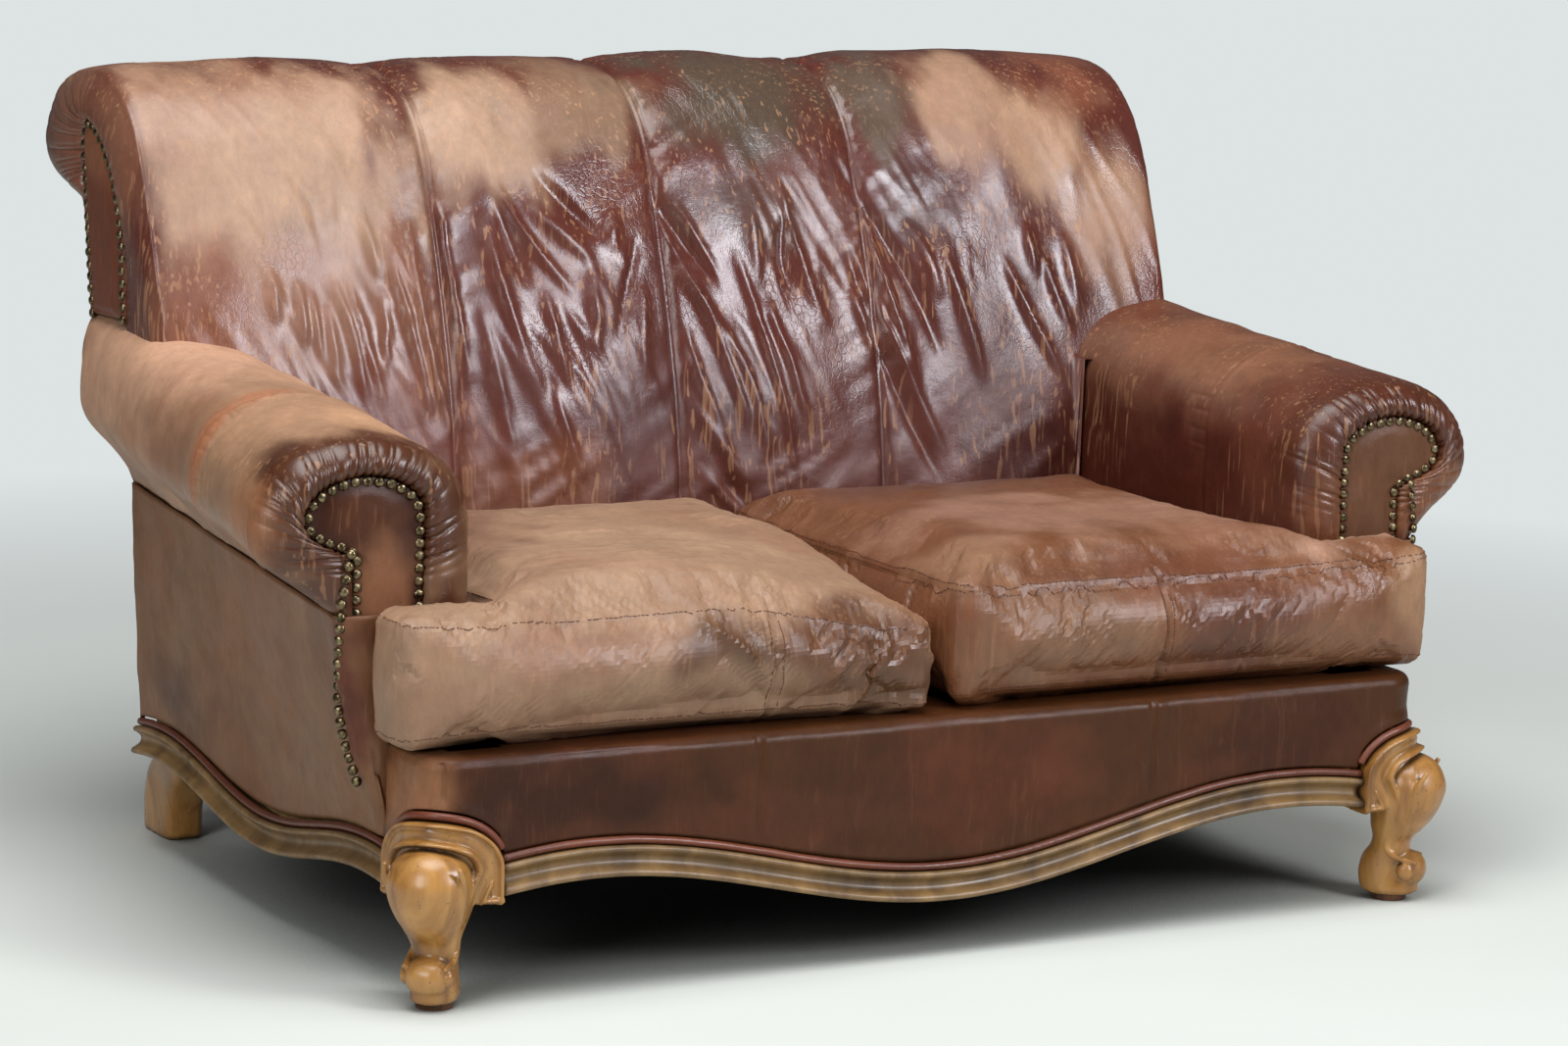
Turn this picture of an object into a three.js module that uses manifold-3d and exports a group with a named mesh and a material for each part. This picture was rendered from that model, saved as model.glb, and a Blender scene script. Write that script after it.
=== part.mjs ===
// Worn two-seat leather sofa: scroll arms, a rolled channel back, two loose T cushions,
// a serpentine show-wood rail, cabriole front legs and splayed back legs.
// Millimetres. +X is to the right as seen from the front, +Y runs to the back, +Z is up.
import * as THREE from "three";
import { mergeVertices } from "three/addons/utils/BufferGeometryUtils.js";
import Module from "manifold-3d";

const wasm = await Module();
wasm.setup();

// Driving dimensions.

// Base and show wood
const BASE_HALF_WIDTH = 688; // outer face of a side rail
const BASE_FRONT = -480; // outer face of the front rail
const BASE_BACK = 385; // back end of the side rails
const RAIL_HEIGHT = 36;
const RAIL_THICKNESS = 34;
const FRONT_WAVE_MID = 101; // height of the front rail's lower edge, half way up its wave
const FRONT_WAVE = 35;
const FRONT_WAVE_HALF = 470; // from the middle drop to each shoulder
const SIDE_WAVE_MID = 108;
const SIDE_WAVE = 20;
const SIDE_WAVE_HALF = 310;
const SIDE_WAVE_CENTRE = -8;
const WELT = 10; // thickness of the leather piping
const GAP = 0.3; // between pieces that touch

// Frame timber
const BOARD = 27;
const FRAME_RISE = 8; // frame rails stop this far above the lower edge of the show wood
const FRAME_TOP = 250;

// Leather border under the cushions
const LEATHER_SET_BACK = 12; // leather behind the outer face of the show wood
const CORNER_RADIUS = 45;
const BORDER_WALL = 21;
const LEDGE_THICKNESS = 24;
const DECK_TOP = 285;

// Front legs
const LEG_SET_IN = 21; // foot centre, in from the corner of the leather, each way
const SHOULDER_STRAIGHT = 45; // flat stretch of the shoulder on each face
const SHOULDER_BOTTOM = 118;
const ARCH_TOP = 215;
const ARCH_SPRING = 160;
const SHOULDER_STANDS_OUT = 15;
const FOOT_PAD_HEIGHT = 8;
const FOOT_PAD_RADIUS = 23;
const VOLUTE_RADIUS = 20;
const VOLUTE_HEIGHT = 40;
const VOLUTE_OUT = 21;
const VOLUTE_WIDTH = 48;
const SCROLL_EYE_RADIUS = 13;
const SCROLL_EYE_WIDTH = 64;

// Arms
const ARM_INNER = BASE_HALF_WIDTH - 128;
const ARM_FRONT = -336; // flat face behind the scroll panel
const ARM_BACK = 470; // before the slope of the back trims it
const ARM_TOP = 633;
const ARM_RISE = 48; // the arm is this much higher at the back
const ROLL_WIDTH = 272;
const ROLL_TAPER = 92; // the roll is this much narrower at the back
const ROLL_SQUARE = 1; // how much boxier the roll grows towards the back
const ROLL_TILT = 25; // how much its outer side rises there
const ROLL_SPRING = 530; // where the roll leaves the inner face
const ROLL_LIP = 434; // where the roll tucks into the outside panel
const LIP_X = ARM_INNER + 178;
const LIP_TAPER = 65; // the lip runs in by this much, to stand plumb over the base at the back
const LIP_RISE = 32;
const PANEL_FOOT_Z = 175;
const ROLL_BULGE = 12; // how far the gathered front of the roll stands before the panel
const PLEAT = 3;
const PANEL_THICKNESS = 5;
const OUTSIDE_PANEL = 8;
const ARM_SPACE_IN = 46; // padding of the inner face, before the space for the frame
const ARM_FRONT_BOARD = 34;
const ARM_RAIL_IN = 82; // arm rail, in from the inner face
const ARM_RAIL_WIDTH = 50;
const ARM_RAIL_BOTTOM = 495;
const ARM_RAIL_TOP = 555;
const POST_WIDTH = 38;
const POST_CLEAR = 21;

// Scroll panel and its nails
const HEAD_X = ARM_INNER + 140;
const HEAD_Z = 541;
const HEAD_HALF_WIDTH = 73;
const HEAD_HALF_HEIGHT = 46;
const NAIL_PITCH = 14.7;
const NAIL_RADIUS = 6.2;
const NAIL_HEIGHT = 4;

// Back
const BACK_HALF_WIDTH = ARM_INNER + 162; // face behind the side facings
const BACK_BULGE = 14;
const BACK_SEAMS = [-345, -32, 266];
const FLUTE = 13; // how far a channel swells between its seams
const BACK_WALL = 62;
const BACK_RAIL_TOP = 868;
const BACK_RAIL_HEIGHT = 46;
const BACK_RAIL_REAR = 445;
const BACK_RAIL_DEPTH = 53;
const OUTSIDE_BACK = 6;

// Cushions
const CUSHION_FRONT = -462;
const CUSHION_BACK = 134;
const CUSHION_SPLIT = 1.5; // half the gap between the two cushions
const CUSHION_SIDE_GAP = 2;
const EAR_OUT = ARM_INNER + 152;
const CUSHION_THICKNESS = 150; // bottom to top seam
const CROWN = 30;
const CUSHION_CORNER = 34;
const BOXING_BULGE = 14;
const CORNER_SAG = 48; // the slumped inner front corner of the left cushion
const SAG_REACH = 330;

// Back legs
const BACK_LEG_X = BASE_HALF_WIDTH - 64;

// Springs, webbing and cloth
const SPRING_COUNT = 5;
const SPRING_WIRE = 3.6;
const SPRING_SWING = 26;
const SPRING_BENDS = 8;
const WEB_COUNT = 4;
const WEB_WIDTH = 50;
const WEB_THICKNESS = 3;
const DUST_COVER_Z = 137;
const CLOTH = 2;

const V2 = (x, y) => new THREE.Vector2(x, y);
const V3 = (x, y, z) => new THREE.Vector3(x, y, z);
const range = (count) => [...Array(count).keys()];
const mix = THREE.MathUtils.lerp;
const smooth = THREE.MathUtils.smoothstep;

// Closed surfaces and solids

// A closed surface from points and triangles, facing out, without collapsed triangles.
function skin(points, triangles) {
  const geometry = new THREE.BufferGeometry().setFromPoints(points);
  geometry.setIndex(triangles);
  const merged = mergeVertices(geometry, 1e-3);
  const index = [];
  let volume = 0;
  const at = (i) => new THREE.Vector3().fromBufferAttribute(merged.attributes.position, i);
  for (let i = 0; i < merged.index.count; i += 3) {
    const [a, b, c] = [0, 1, 2].map((k) => merged.index.getX(i + k));
    if (a === b || b === c || c === a) continue;
    index.push(a, b, c);
    volume += at(a).dot(at(b).cross(at(c)));
  }
  if (volume < 0) for (let i = 0; i < index.length; i += 3) [index[i], index[i + 1]] = [index[i + 1], index[i]];
  merged.setIndex(index);
  return merged;
}

// Points within a straight run, bent in a hair, so that the triangulation keeps them.
function bent(outline) {
  const count = outline.length;
  const turn = Math.sign(THREE.ShapeUtils.area(outline));
  const at = (i) => outline[((i % count) + count) % count];
  const straight = (i) => {
    const a = at(i).clone().sub(at(i - 1)).normalize();
    const b = at(i + 1).clone().sub(at(i)).normalize();
    return Math.abs(a.cross(b)) < 1e-3;
  };
  return outline.map((p, i) => {
    if (!straight(i)) return p;
    let [from, to] = [i - 1, i + 1];
    while (straight(from) && from > i - count) from--;
    while (straight(to) && to < i + count) to++;
    const along = at(to).clone().sub(at(from));
    const share = p.clone().sub(at(from)).dot(along) / along.lengthSq();
    return p.clone().addScaledVector(V2(-along.y, along.x), turn * 2e-3 * share * (1 - share));
  });
}

// Triangles that fill a flat outline, wound as the outline is.
function fill(flatOutline) {
  const outline = bent(flatOutline);
  const faces = THREE.ShapeUtils.triangulateShape(outline, []);
  const turns = THREE.ShapeUtils.area(outline) > 0;
  return faces.map(([a, b, c]) => {
    const same = THREE.ShapeUtils.area([outline[a], outline[b], outline[c]]) > 0 === turns;
    return same ? [a, b, c] : [a, c, b];
  });
}

// A solid through rings of matching points. flat projects an end ring to a plane, so that it can be filled.
function loft(rings, flat) {
  const count = rings[0].length;
  const triangles = [];
  for (let k = 0; k + 1 < rings.length; k++)
    for (let i = 0; i < count; i++) {
      const [a, b] = [k * count + i, k * count + ((i + 1) % count)];
      triangles.push(a, b, b + count, a, b + count, a + count);
    }
  for (const [a, b, c] of fill(rings[0].map(flat))) triangles.push(a, c, b);
  const last = (rings.length - 1) * count;
  for (const [a, b, c] of fill(rings.at(-1).map(flat))) triangles.push(last + a, last + b, last + c);
  return skin(rings.flat(), triangles);
}
const seenFromFront = (p) => V2(p.x, p.z);
const seenFromSide = (p) => V2(p.y, p.z);
const seenFromAbove = (p) => V2(p.x, p.y);

function toSolid(geometry) {
  const bare = new THREE.BufferGeometry();
  const source = geometry.index ? geometry.toNonIndexed() : geometry;
  bare.setAttribute("position", source.getAttribute("position"));
  const merged = mergeVertices(bare, 1e-3);
  return new wasm.Manifold(
    new wasm.Mesh({
      numProp: 3,
      vertProperties: merged.attributes.position.array,
      triVerts: new Uint32Array(merged.index.array),
    }),
  );
}

function toGeometry(solid) {
  const { vertProperties, triVerts } = solid.getMesh();
  const geometry = new THREE.BufferGeometry();
  geometry.setAttribute("position", new THREE.BufferAttribute(vertProperties, 3));
  geometry.setIndex(new THREE.BufferAttribute(triVerts, 1));
  geometry.computeVertexNormals();
  return geometry;
}

const join = (...geometries) => toGeometry(geometries.map(toSolid).reduce((a, b) => a.add(b)));
const cut = (geometry, ...tools) => toGeometry(tools.map(toSolid).reduce((a, b) => a.subtract(b), toSolid(geometry)));

// A board cut to an outline seen from the front (x, z), from depth y0 to y1.
function boardFromFront(outline, y0, y1) {
  return loft([y0, y1].map((y) => outline.map((p) => V3(p.x, y, p.y))), seenFromFront);
}

// A board cut to an outline seen from the side (y, z), from x0 to x1.
function boardFromSide(outline, x0, x1) {
  return loft([x0, x1].map((x) => outline.map((p) => V3(x, p.x, p.y))), seenFromSide);
}

function box(x0, x1, y0, y1, z0, z1) {
  return new THREE.BoxGeometry(x1 - x0, y1 - y0, z1 - z0).translate((x0 + x1) / 2, (y0 + y1) / 2, (z0 + z1) / 2);
}

// A solid cord of small section along a list of points.
function cord(points, radius, sides, steps) {
  const section = new THREE.Shape(
    range(sides).map((i) => V2(radius * Math.cos((2 * Math.PI * i) / sides), radius * Math.sin((2 * Math.PI * i) / sides))),
  );
  const path = new THREE.CatmullRomCurve3(points, false, "centripetal");
  return new THREE.ExtrudeGeometry(section, { steps, extrudePath: path });
}

// Values that follow from the driving dimensions
const LEATHER_X = BASE_HALF_WIDTH - LEATHER_SET_BACK;
const LEATHER_FRONT = BASE_FRONT + LEATHER_SET_BACK;
const RAIL_BACK_FACE = BASE_FRONT + RAIL_THICKNESS;
const RAIL_INNER_FACE = BASE_HALF_WIDTH - RAIL_THICKNESS;
const RAIL_END_X = LEATHER_X - CORNER_RADIUS - SHOULDER_STRAIGHT; // inner end of the leg's shoulder
const RAIL_END_Y = LEATHER_FRONT + CORNER_RADIUS + SHOULDER_STRAIGHT;
const SIDE_FRAME_INNER = RAIL_INNER_FACE - GAP - BOARD;
const FRONT_FRAME_BACK = RAIL_BACK_FACE + GAP + BOARD;
const BORDER_BACK = ARM_FRONT - ROLL_BULGE - PLEAT - 2 * GAP;
const EAR_BACK = ARM_FRONT - ROLL_BULGE - PLEAT - 3;
const ARM_BOTTOM = FRAME_TOP + 11;
const BACK_FRAME_BACK = BASE_BACK - OUTSIDE_BACK - 1.5;
const BACK_FRAME_FRONT = BACK_FRAME_BACK - BOARD;

const frontWave = (x) => FRONT_WAVE_MID - FRONT_WAVE * Math.cos((Math.PI * x) / FRONT_WAVE_HALF);
const sideWave = (y) => SIDE_WAVE_MID - SIDE_WAVE * Math.cos((Math.PI * (y - SIDE_WAVE_CENTRE)) / SIDE_WAVE_HALF);

// Show wood: a cove between two beads, as (out from the back face, up from the lower edge).
function mouldingSection() {
  const [t, h] = [RAIL_THICKNESS, RAIL_HEIGHT];
  return [
    V2(0, 0), V2(t - 6, 0), V2(t - 1, 2), V2(t, 6), V2(t - 4, 10),
    V2(t - 9, 14), V2(t - 11, h / 2 + 2), V2(t - 9, h - 10), V2(t - 5, h - 6), V2(t - 4, h - 2), V2(t - 8, h), V2(0, h),
  ];
}

function frontRail() {
  const steps = 20;
  const end = RAIL_END_X - GAP;
  return loft(
    range(steps + 1).map((i) => {
      const x = mix(-end, end, i / steps);
      return mouldingSection().map((p) => V3(x, RAIL_BACK_FACE - p.x, frontWave(x) + p.y));
    }),
    seenFromSide,
  );
}

function sideRail() {
  const steps = 12;
  return loft(
    range(steps + 1).map((i) => {
      const y = mix(RAIL_END_Y + GAP, BASE_BACK, i / steps);
      return mouldingSection().map((p) => V3(-RAIL_INNER_FACE - p.x, y, sideWave(y) + p.y));
    }),
    seenFromFront,
  );
}

// The plan line of the leather round a front corner. along is measured from the corner's middle,
// negative on the front face and positive on the side; out is how far outside the leather.
function cornerPlan(along, out) {
  const halfArc = (CORNER_RADIUS * Math.PI) / 4;
  const centre = V2(-(LEATHER_X - CORNER_RADIUS), LEATHER_FRONT + CORNER_RADIUS);
  const turn = THREE.MathUtils.clamp(along / halfArc, -1, 1);
  const angle = Math.PI + Math.PI / 4 - (turn * Math.PI) / 4;
  const normal = V2(Math.cos(angle), Math.sin(angle));
  const point = centre.clone().addScaledVector(normal, CORNER_RADIUS + out);
  if (along < -halfArc) point.x += -along - halfArc;
  if (along > halfArc) point.y += along - halfArc;
  return point;
}
const SHOULDER_REACH = (CORNER_RADIUS * Math.PI) / 4 + SHOULDER_STRAIGHT;
// A point of the arch over a leg's shoulder, or of a line outside it, as (along the corner, height).
function archPoint(angle, out = 0) {
  const [wide, high] = [SHOULDER_REACH, ARCH_TOP - ARCH_SPRING];
  const normal = V2(Math.cos(angle) / wide, Math.sin(angle) / high).normalize();
  return V2(wide * Math.cos(angle), ARCH_SPRING + high * Math.sin(angle)).addScaledVector(normal, out);
}

const FOOT_X = -(LEATHER_X - LEG_SET_IN);
const FOOT_Y = LEATHER_FRONT + LEG_SET_IN;
// A point of a front leg, from the leg's own across and outward distances; it faces the corner.
const legPoint = (across, outward, z) => {
  const s = Math.SQRT1_2;
  return V3(FOOT_X + s * (across - outward), FOOT_Y - s * (across + outward), z);
};

// Knee, ankle and foot of a cabriole leg: height, middle, half depth and half width of each section.
const LEG_SECTIONS = [
  [0, -2, 30, 24], [6, -2, 36, 27], [24, -5, 36, 25], [44, -6, 31, 24], [58, -3, 25, 26], [70, 0, 25, 29],
  [84, 5, 33, 34], [98, 10, 39, 40], [116, 13, 45, 46], [136, 16, 47, 48], [152, 15, 44, 45], [164, 14, 38, 38],
  [172, 13, 29, 27], [177, 12, 18, 15],
];
function cabrioleLeg() {
  const points = 12;
  const knee = loft(
    LEG_SECTIONS.map(([height, middle, deep, wide]) =>
      range(points).map((i) => {
        const a = (2 * Math.PI * i) / points;
        const swell = (v) => Math.sign(v) * Math.abs(v) ** 0.85;
        return legPoint(wide * swell(Math.cos(a)), middle + deep * swell(Math.sin(a)), FOOT_PAD_HEIGHT + GAP + height);
      }),
    ),
    seenFromAbove,
  );
  const steps = 12;
  const shoulder = loft(
    range(steps + 1).map((i) => {
      const { x: along, y: top } = archPoint(Math.PI * (1 - i / steps));
      const swell = SHOULDER_STANDS_OUT;
      const profile = [
        [-BORDER_WALL, SHOULDER_BOTTOM], [swell - 4, SHOULDER_BOTTOM], [swell, SHOULDER_BOTTOM + 5],
        [swell - 3, mix(SHOULDER_BOTTOM, top, 0.3)], [swell - 5, mix(SHOULDER_BOTTOM, top, 0.7)],
        [swell - 4, top - 8], [swell, top - 5], [swell - 3, top], [-BORDER_WALL, top],
      ];
      return profile.map(([out, z]) => {
        const p = cornerPlan(along, out);
        return V3(p.x, p.y, z);
      });
    }),
    (p) => V2(Math.hypot(p.x - RAIL_END_X, p.y) - Math.hypot(RAIL_END_X, 0), p.z),
  );
  const [from, inset] = [BORDER_WALL / 2, BORDER_WALL + 9];
  const block = box(-(LEATHER_X - from), -RAIL_END_X, LEATHER_FRONT + from, RAIL_END_Y, SHOULDER_BOTTOM, ARCH_SPRING - 2);
  const post = box(-(LEATHER_X - inset), -RAIL_END_X, LEATHER_FRONT + inset, RAIL_END_Y, SHOULDER_BOTTOM, FRAME_TOP - 5);
  const across = (radius, width, height) => {
    const roll = new THREE.CylinderGeometry(radius, radius, width, 12).rotateZ(Math.PI / 2);
    return roll.rotateZ(-Math.PI / 4).translate(...legPoint(0, VOLUTE_OUT, height).toArray());
  };
  const volute = across(VOLUTE_RADIUS, VOLUTE_WIDTH, VOLUTE_HEIGHT);
  const eye = across(SCROLL_EYE_RADIUS, SCROLL_EYE_WIDTH, VOLUTE_HEIGHT - 2);
  const raised = join(knee, shoulder, block, post, volute, eye);
  const floor = box(-FAR_OUT, 0, 2 * BASE_FRONT, 0, -50, FOOT_PAD_HEIGHT + GAP);
  return cut(raised, floor);
}

function footPad() {
  return new THREE.CylinderGeometry(FOOT_PAD_RADIUS, FOOT_PAD_RADIUS - 2, FOOT_PAD_HEIGHT, 14)
    .rotateX(Math.PI / 2)
    .translate(...legPoint(0, -2, FOOT_PAD_HEIGHT / 2).toArray());
}

// Splayed back leg: height, middle x, middle y, half width, half depth.
function backLeg() {
  const top = sideWave(BASE_BACK) + FRAME_RISE - GAP;
  const sections = [
    [0, BACK_LEG_X - 18, 447, 23, 43], [6, BACK_LEG_X - 18, 447, 25, 46], [45, BACK_LEG_X - 15, 438, 25, 48],
    [80, BACK_LEG_X - 9, 412, 25, 50], [108, BACK_LEG_X - 3, 375, 25, 50], [top, BACK_LEG_X, 335, 25, 46],
  ];
  const corner = 8;
  return loft(
    sections.map(([z, x, y, w, d]) =>
      [[-w, -d + corner], [-w + corner, -d], [w - corner, -d], [w, -d + corner], [w, d - corner], [w - corner, d],
        [-w + corner, d], [-w, d - corner]].map(([dx, dy]) => V3(-x + dx, y + dy, z)),
    ),
    seenFromAbove,
  );
}

// Piping: it lies on the rails' upper edge, proud of the leather.
const WELT_SIDES = 5;
function frontWelt() {
  const end = RAIL_END_X - GAP;
  const steps = 22;
  const points = range(steps + 1).map((i) => {
    const x = mix(-end, end, i / steps);
    return V3(x, LEATHER_FRONT, frontWave(x) + RAIL_HEIGHT + GAP + WELT / 2);
  });
  return cord(points, WELT / 2, WELT_SIDES, steps);
}
function sideWelt() {
  const steps = 12;
  const points = range(steps + 1).map((i) => {
    const y = mix(RAIL_END_Y + GAP, BASE_BACK, i / steps);
    return V3(-LEATHER_X, y, sideWave(y) + RAIL_HEIGHT + GAP + WELT / 2);
  });
  return cord(points, WELT / 2, WELT_SIDES, steps);
}
function legWelt() {
  const steps = 12;
  const low = 0.33; // the arc stops above the ends of the rails' piping
  const points = range(steps + 1).map((i) => {
    const { x: along, y: z } = archPoint(mix(Math.PI - low, low, i / steps), WELT / 2 + 1.2);
    const p = cornerPlan(along, 1);
    return V3(p.x, p.y, z);
  });
  return cord(points, WELT / 2, WELT_SIDES, steps);
}

// Leather border: front wall, returns round both corners and the padded ledge that the cushions rest on.
function plan(halfWidth, front, back, radius) {
  const shape = new THREE.Shape();
  shape.moveTo(-halfWidth, back);
  shape.lineTo(-halfWidth, front + radius);
  shape.absarc(-halfWidth + radius, front + radius, radius, Math.PI, 1.5 * Math.PI, false);
  shape.lineTo(halfWidth - radius, front);
  shape.absarc(halfWidth - radius, front + radius, radius, 1.5 * Math.PI, 2 * Math.PI, false);
  shape.lineTo(halfWidth, back);
  return shape;
}
function slab(shape, z0, z1, curveSegments = 6) {
  const outline = shape.getPoints(curveSegments);
  if (outline[0].distanceTo(outline.at(-1)) < 1e-6) outline.pop();
  return loft([z0, z1].map((z) => outline.map((p) => V3(p.x, p.y, z))), seenFromAbove);
}
function frontBorder() {
  const ledgeBottom = DECK_TOP - LEDGE_THICKNESS;
  const edge = 7;
  const wall = slab(plan(LEATHER_X, LEATHER_FRONT, BORDER_BACK, CORNER_RADIUS), 90, DECK_TOP - edge);
  const top = slab(plan(LEATHER_X - edge, LEATHER_FRONT + edge, BORDER_BACK, CORNER_RADIUS - edge), 90, DECK_TOP);
  const inside = slab(
    plan(LEATHER_X - BORDER_WALL, LEATHER_FRONT + BORDER_WALL, 0, CORNER_RADIUS - BORDER_WALL), 0, ledgeBottom,
  );
  const over = RAIL_HEIGHT + WELT + 6 * GAP;
  const steps = 16;
  const line = (at, half, middle) => range(steps + 1).map((i) => at(mix(middle - half, middle + half, i / steps)));
  const underFront = boardFromFront(
    [V2(-RAIL_END_X, 0), ...line((x) => V2(x, frontWave(x) + over), RAIL_END_X, 0), V2(RAIL_END_X, 0)],
    BASE_FRONT - 50, FRONT_FRAME_BACK,
  );
  const sideMiddle = (RAIL_END_Y + BORDER_BACK) / 2;
  const sideHalf = (BORDER_BACK - RAIL_END_Y) / 2 + 20;
  const sides = [-1, 1].map((side) =>
    boardFromSide(
      [V2(RAIL_END_Y, 0), V2(RAIL_END_Y, sideWave(RAIL_END_Y) + over),
        V2(sideMiddle + sideHalf, sideWave(sideMiddle + sideHalf) + over), V2(sideMiddle + sideHalf, 0)],
      side < 0 ? -BASE_HALF_WIDTH - 50 : LEATHER_X - BORDER_WALL - 5,
      side < 0 ? -(LEATHER_X - BORDER_WALL - 5) : BASE_HALF_WIDTH + 50,
    ),
  );
  // The arch over each leg: a curtain through the wall, wide enough for the shoulder and its piping.
  const arch = loft(
    range(13).map((i) => {
      const { x: along, y: z } = archPoint(Math.PI * (1 - i / 12), WELT + 3);
      return [[-BORDER_WALL - 6, 0], [30, 0], [30, z], [-BORDER_WALL - 6, z]].map(([out, height]) => {
        const p = cornerPlan(along, out);
        return V3(p.x, p.y, height);
      });
    }),
    (p) => V2(Math.hypot(p.x, p.y), p.z),
  );
  const otherArch = mirror(arch);
  return cut(join(wall, top), inside, underFront, ...sides, arch, otherArch);
}
function mirror(geometry) {
  const bare = geometry.index ? geometry.clone() : mergeVertices(geometry.clone());
  const made = bare.scale(-1, 1, 1);
  const index = made.index.array;
  for (let i = 0; i < index.length; i += 3) [index[i], index[i + 1]] = [index[i + 1], index[i]];
  return made;
}

// Frame timber of the base
function frontFrameRail() {
  const end = RAIL_END_X - GAP;
  const steps = 12;
  const lower = range(steps + 1).map((i) => {
    const x = mix(-end, end, i / steps);
    return V2(x, frontWave(x) + FRAME_RISE);
  });
  return boardFromFront([...lower, V2(end, FRAME_TOP), V2(-end, FRAME_TOP)], RAIL_BACK_FACE + GAP, FRONT_FRAME_BACK);
}
function sideFrameRail() {
  const steps = 8;
  const [from, to] = [RAIL_END_Y + GAP, BACK_FRAME_FRONT - GAP];
  const lower = range(steps + 1).map((i) => {
    const y = mix(from, to, i / steps);
    return V2(y, sideWave(y) + FRAME_RISE);
  });
  return boardFromSide([...lower, V2(to, FRAME_TOP), V2(from, FRAME_TOP)], -RAIL_INNER_FACE + GAP, -SIDE_FRAME_INNER);
}
function backFrameRail() {
  const z = sideWave(BASE_BACK) + FRAME_RISE;
  return box(-RAIL_INNER_FACE + GAP, RAIL_INNER_FACE - GAP, BACK_FRAME_FRONT, BACK_FRAME_BACK, z, FRAME_TOP);
}
function centreBrace() {
  const drop = 60;
  return box(-BOARD / 2, BOARD / 2, FRONT_FRAME_BACK + GAP, BACK_FRAME_FRONT - GAP, DUST_COVER_Z + CLOTH + GAP, FRAME_TOP - drop);
}
function cornerBlock() {
  const leg = 70;
  const [x, y] = [SIDE_FRAME_INNER - GAP, BACK_FRAME_FRONT - GAP];
  return slab(new THREE.Shape([V2(-x, y), V2(-x, y - leg), V2(-x + leg, y)]), DUST_COVER_Z + CLOTH + GAP, FRAME_TOP - 5);
}
function dustCover() {
  const [x, y0, y1] = [SIDE_FRAME_INNER - GAP, FRONT_FRAME_BACK + GAP, BACK_FRAME_FRONT - GAP];
  const [notchX, notchY] = [RAIL_END_X - GAP, RAIL_END_Y + GAP];
  const outline = [
    V2(-notchX, y0), V2(notchX, y0), V2(notchX, notchY), V2(x, notchY), V2(x, y1), V2(-x, y1), V2(-x, notchY), V2(-notchX, notchY),
  ];
  return slab(new THREE.Shape(outline), DUST_COVER_Z, DUST_COVER_Z + CLOTH);
}

// Arms

const depthShare = (y) => (y - ARM_FRONT) / (ARM_BACK - ARM_FRONT);
const lipPoint = (share) => V2(LIP_X - LIP_TAPER * share, ROLL_LIP + LIP_RISE * share);
// How far out the outside arm panel lies at a height.
function panelOut(z, share) {
  const lip = lipPoint(share);
  return mix(LEATHER_X, lip.x, (z - PANEL_FOOT_Z) / (lip.y - PANEL_FOOT_Z));
}

// Points of the arm's outline at one depth, as (x, z): up the inner face, over the roll, under it and down.
const ROLL_COUNT = 22;
const UNDER_COUNT = 5;
function armOutline(share) {
  const rise = ARM_RISE * share;
  const width = ROLL_WIDTH - ROLL_TAPER * share;
  const outer = ARM_INNER + width;
  const lip = lipPoint(share);
  const spring = ROLL_SPRING + rise;
  const power = 2 / (2 + ROLL_SQUARE * share);
  const roll = range(ROLL_COUNT + 1).map((i) => {
    const angle = (Math.PI * i) / ROLL_COUNT;
    const across = Math.sign(Math.cos(angle)) * Math.abs(Math.cos(angle)) ** power;
    const up = Math.max(Math.sin(angle), 0) ** power;
    const tilt = ROLL_TILT * share * across * up;
    return V2(-ARM_INNER - (width / 2) * (1 - across), spring + (ARM_TOP - ROLL_SPRING) * up - tilt);
  });
  const under = new THREE.CubicBezierCurve(
    V2(-outer, spring), V2(-outer - 2, spring - 42), V2(-outer + 40, spring - 50), V2(-lip.x, lip.y),
  );
  const neck = [lip.y, (lip.y + ARM_BOTTOM) / 2, ARM_BOTTOM];
  return [
    ...range(3).map((i) => V2(-ARM_INNER, mix(ARM_BOTTOM, spring, i / 3))),
    ...roll,
    ...under.getPoints(UNDER_COUNT).slice(1),
    ...neck.map((z) => V2(-(panelOut(z, share) - OUTSIDE_PANEL - 2.5), z)),
  ];
}

// The nail line on the arm's front, point for point with armOutline.
function nailOutline() {
  const head = new THREE.EllipseCurve(-HEAD_X, HEAD_Z, HEAD_HALF_WIDTH, HEAD_HALF_HEIGHT, 0, Math.PI);
  const under = new THREE.CubicBezierCurve(
    V2(-HEAD_X - HEAD_HALF_WIDTH, HEAD_Z), V2(-HEAD_X - HEAD_HALF_WIDTH, HEAD_Z - 30),
    V2(-HEAD_X - 40, HEAD_Z - 30), V2(-HEAD_X - 13, HEAD_Z - 44),
  );
  const inner = HEAD_X - HEAD_HALF_WIDTH;
  const neck = [410, (410 + ARM_BOTTOM) / 2, ARM_BOTTOM + NAIL_RADIUS];
  return [
    ...range(3).map((i) => V2(-inner, mix(ARM_BOTTOM + NAIL_RADIUS, HEAD_Z, i / 3))),
    ...head.getPoints(ROLL_COUNT),
    ...under.getPoints(UNDER_COUNT).slice(1),
    ...neck.map((z) => V2(-(panelOut(z, 0) - 2 * OUTSIDE_PANEL - 2), z)),
  ];
}

// Beyond everything, for cutting tools
const DEEP_BACK = BASE_BACK + 450;
const FAR_OUT = BASE_HALF_WIDTH + 300;
const rearLine = new THREE.SplineCurve([V2(BASE_BACK, 0), V2(BASE_BACK, 160), V2(412, 470), V2(440, 680), V2(467, 815)]);
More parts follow.
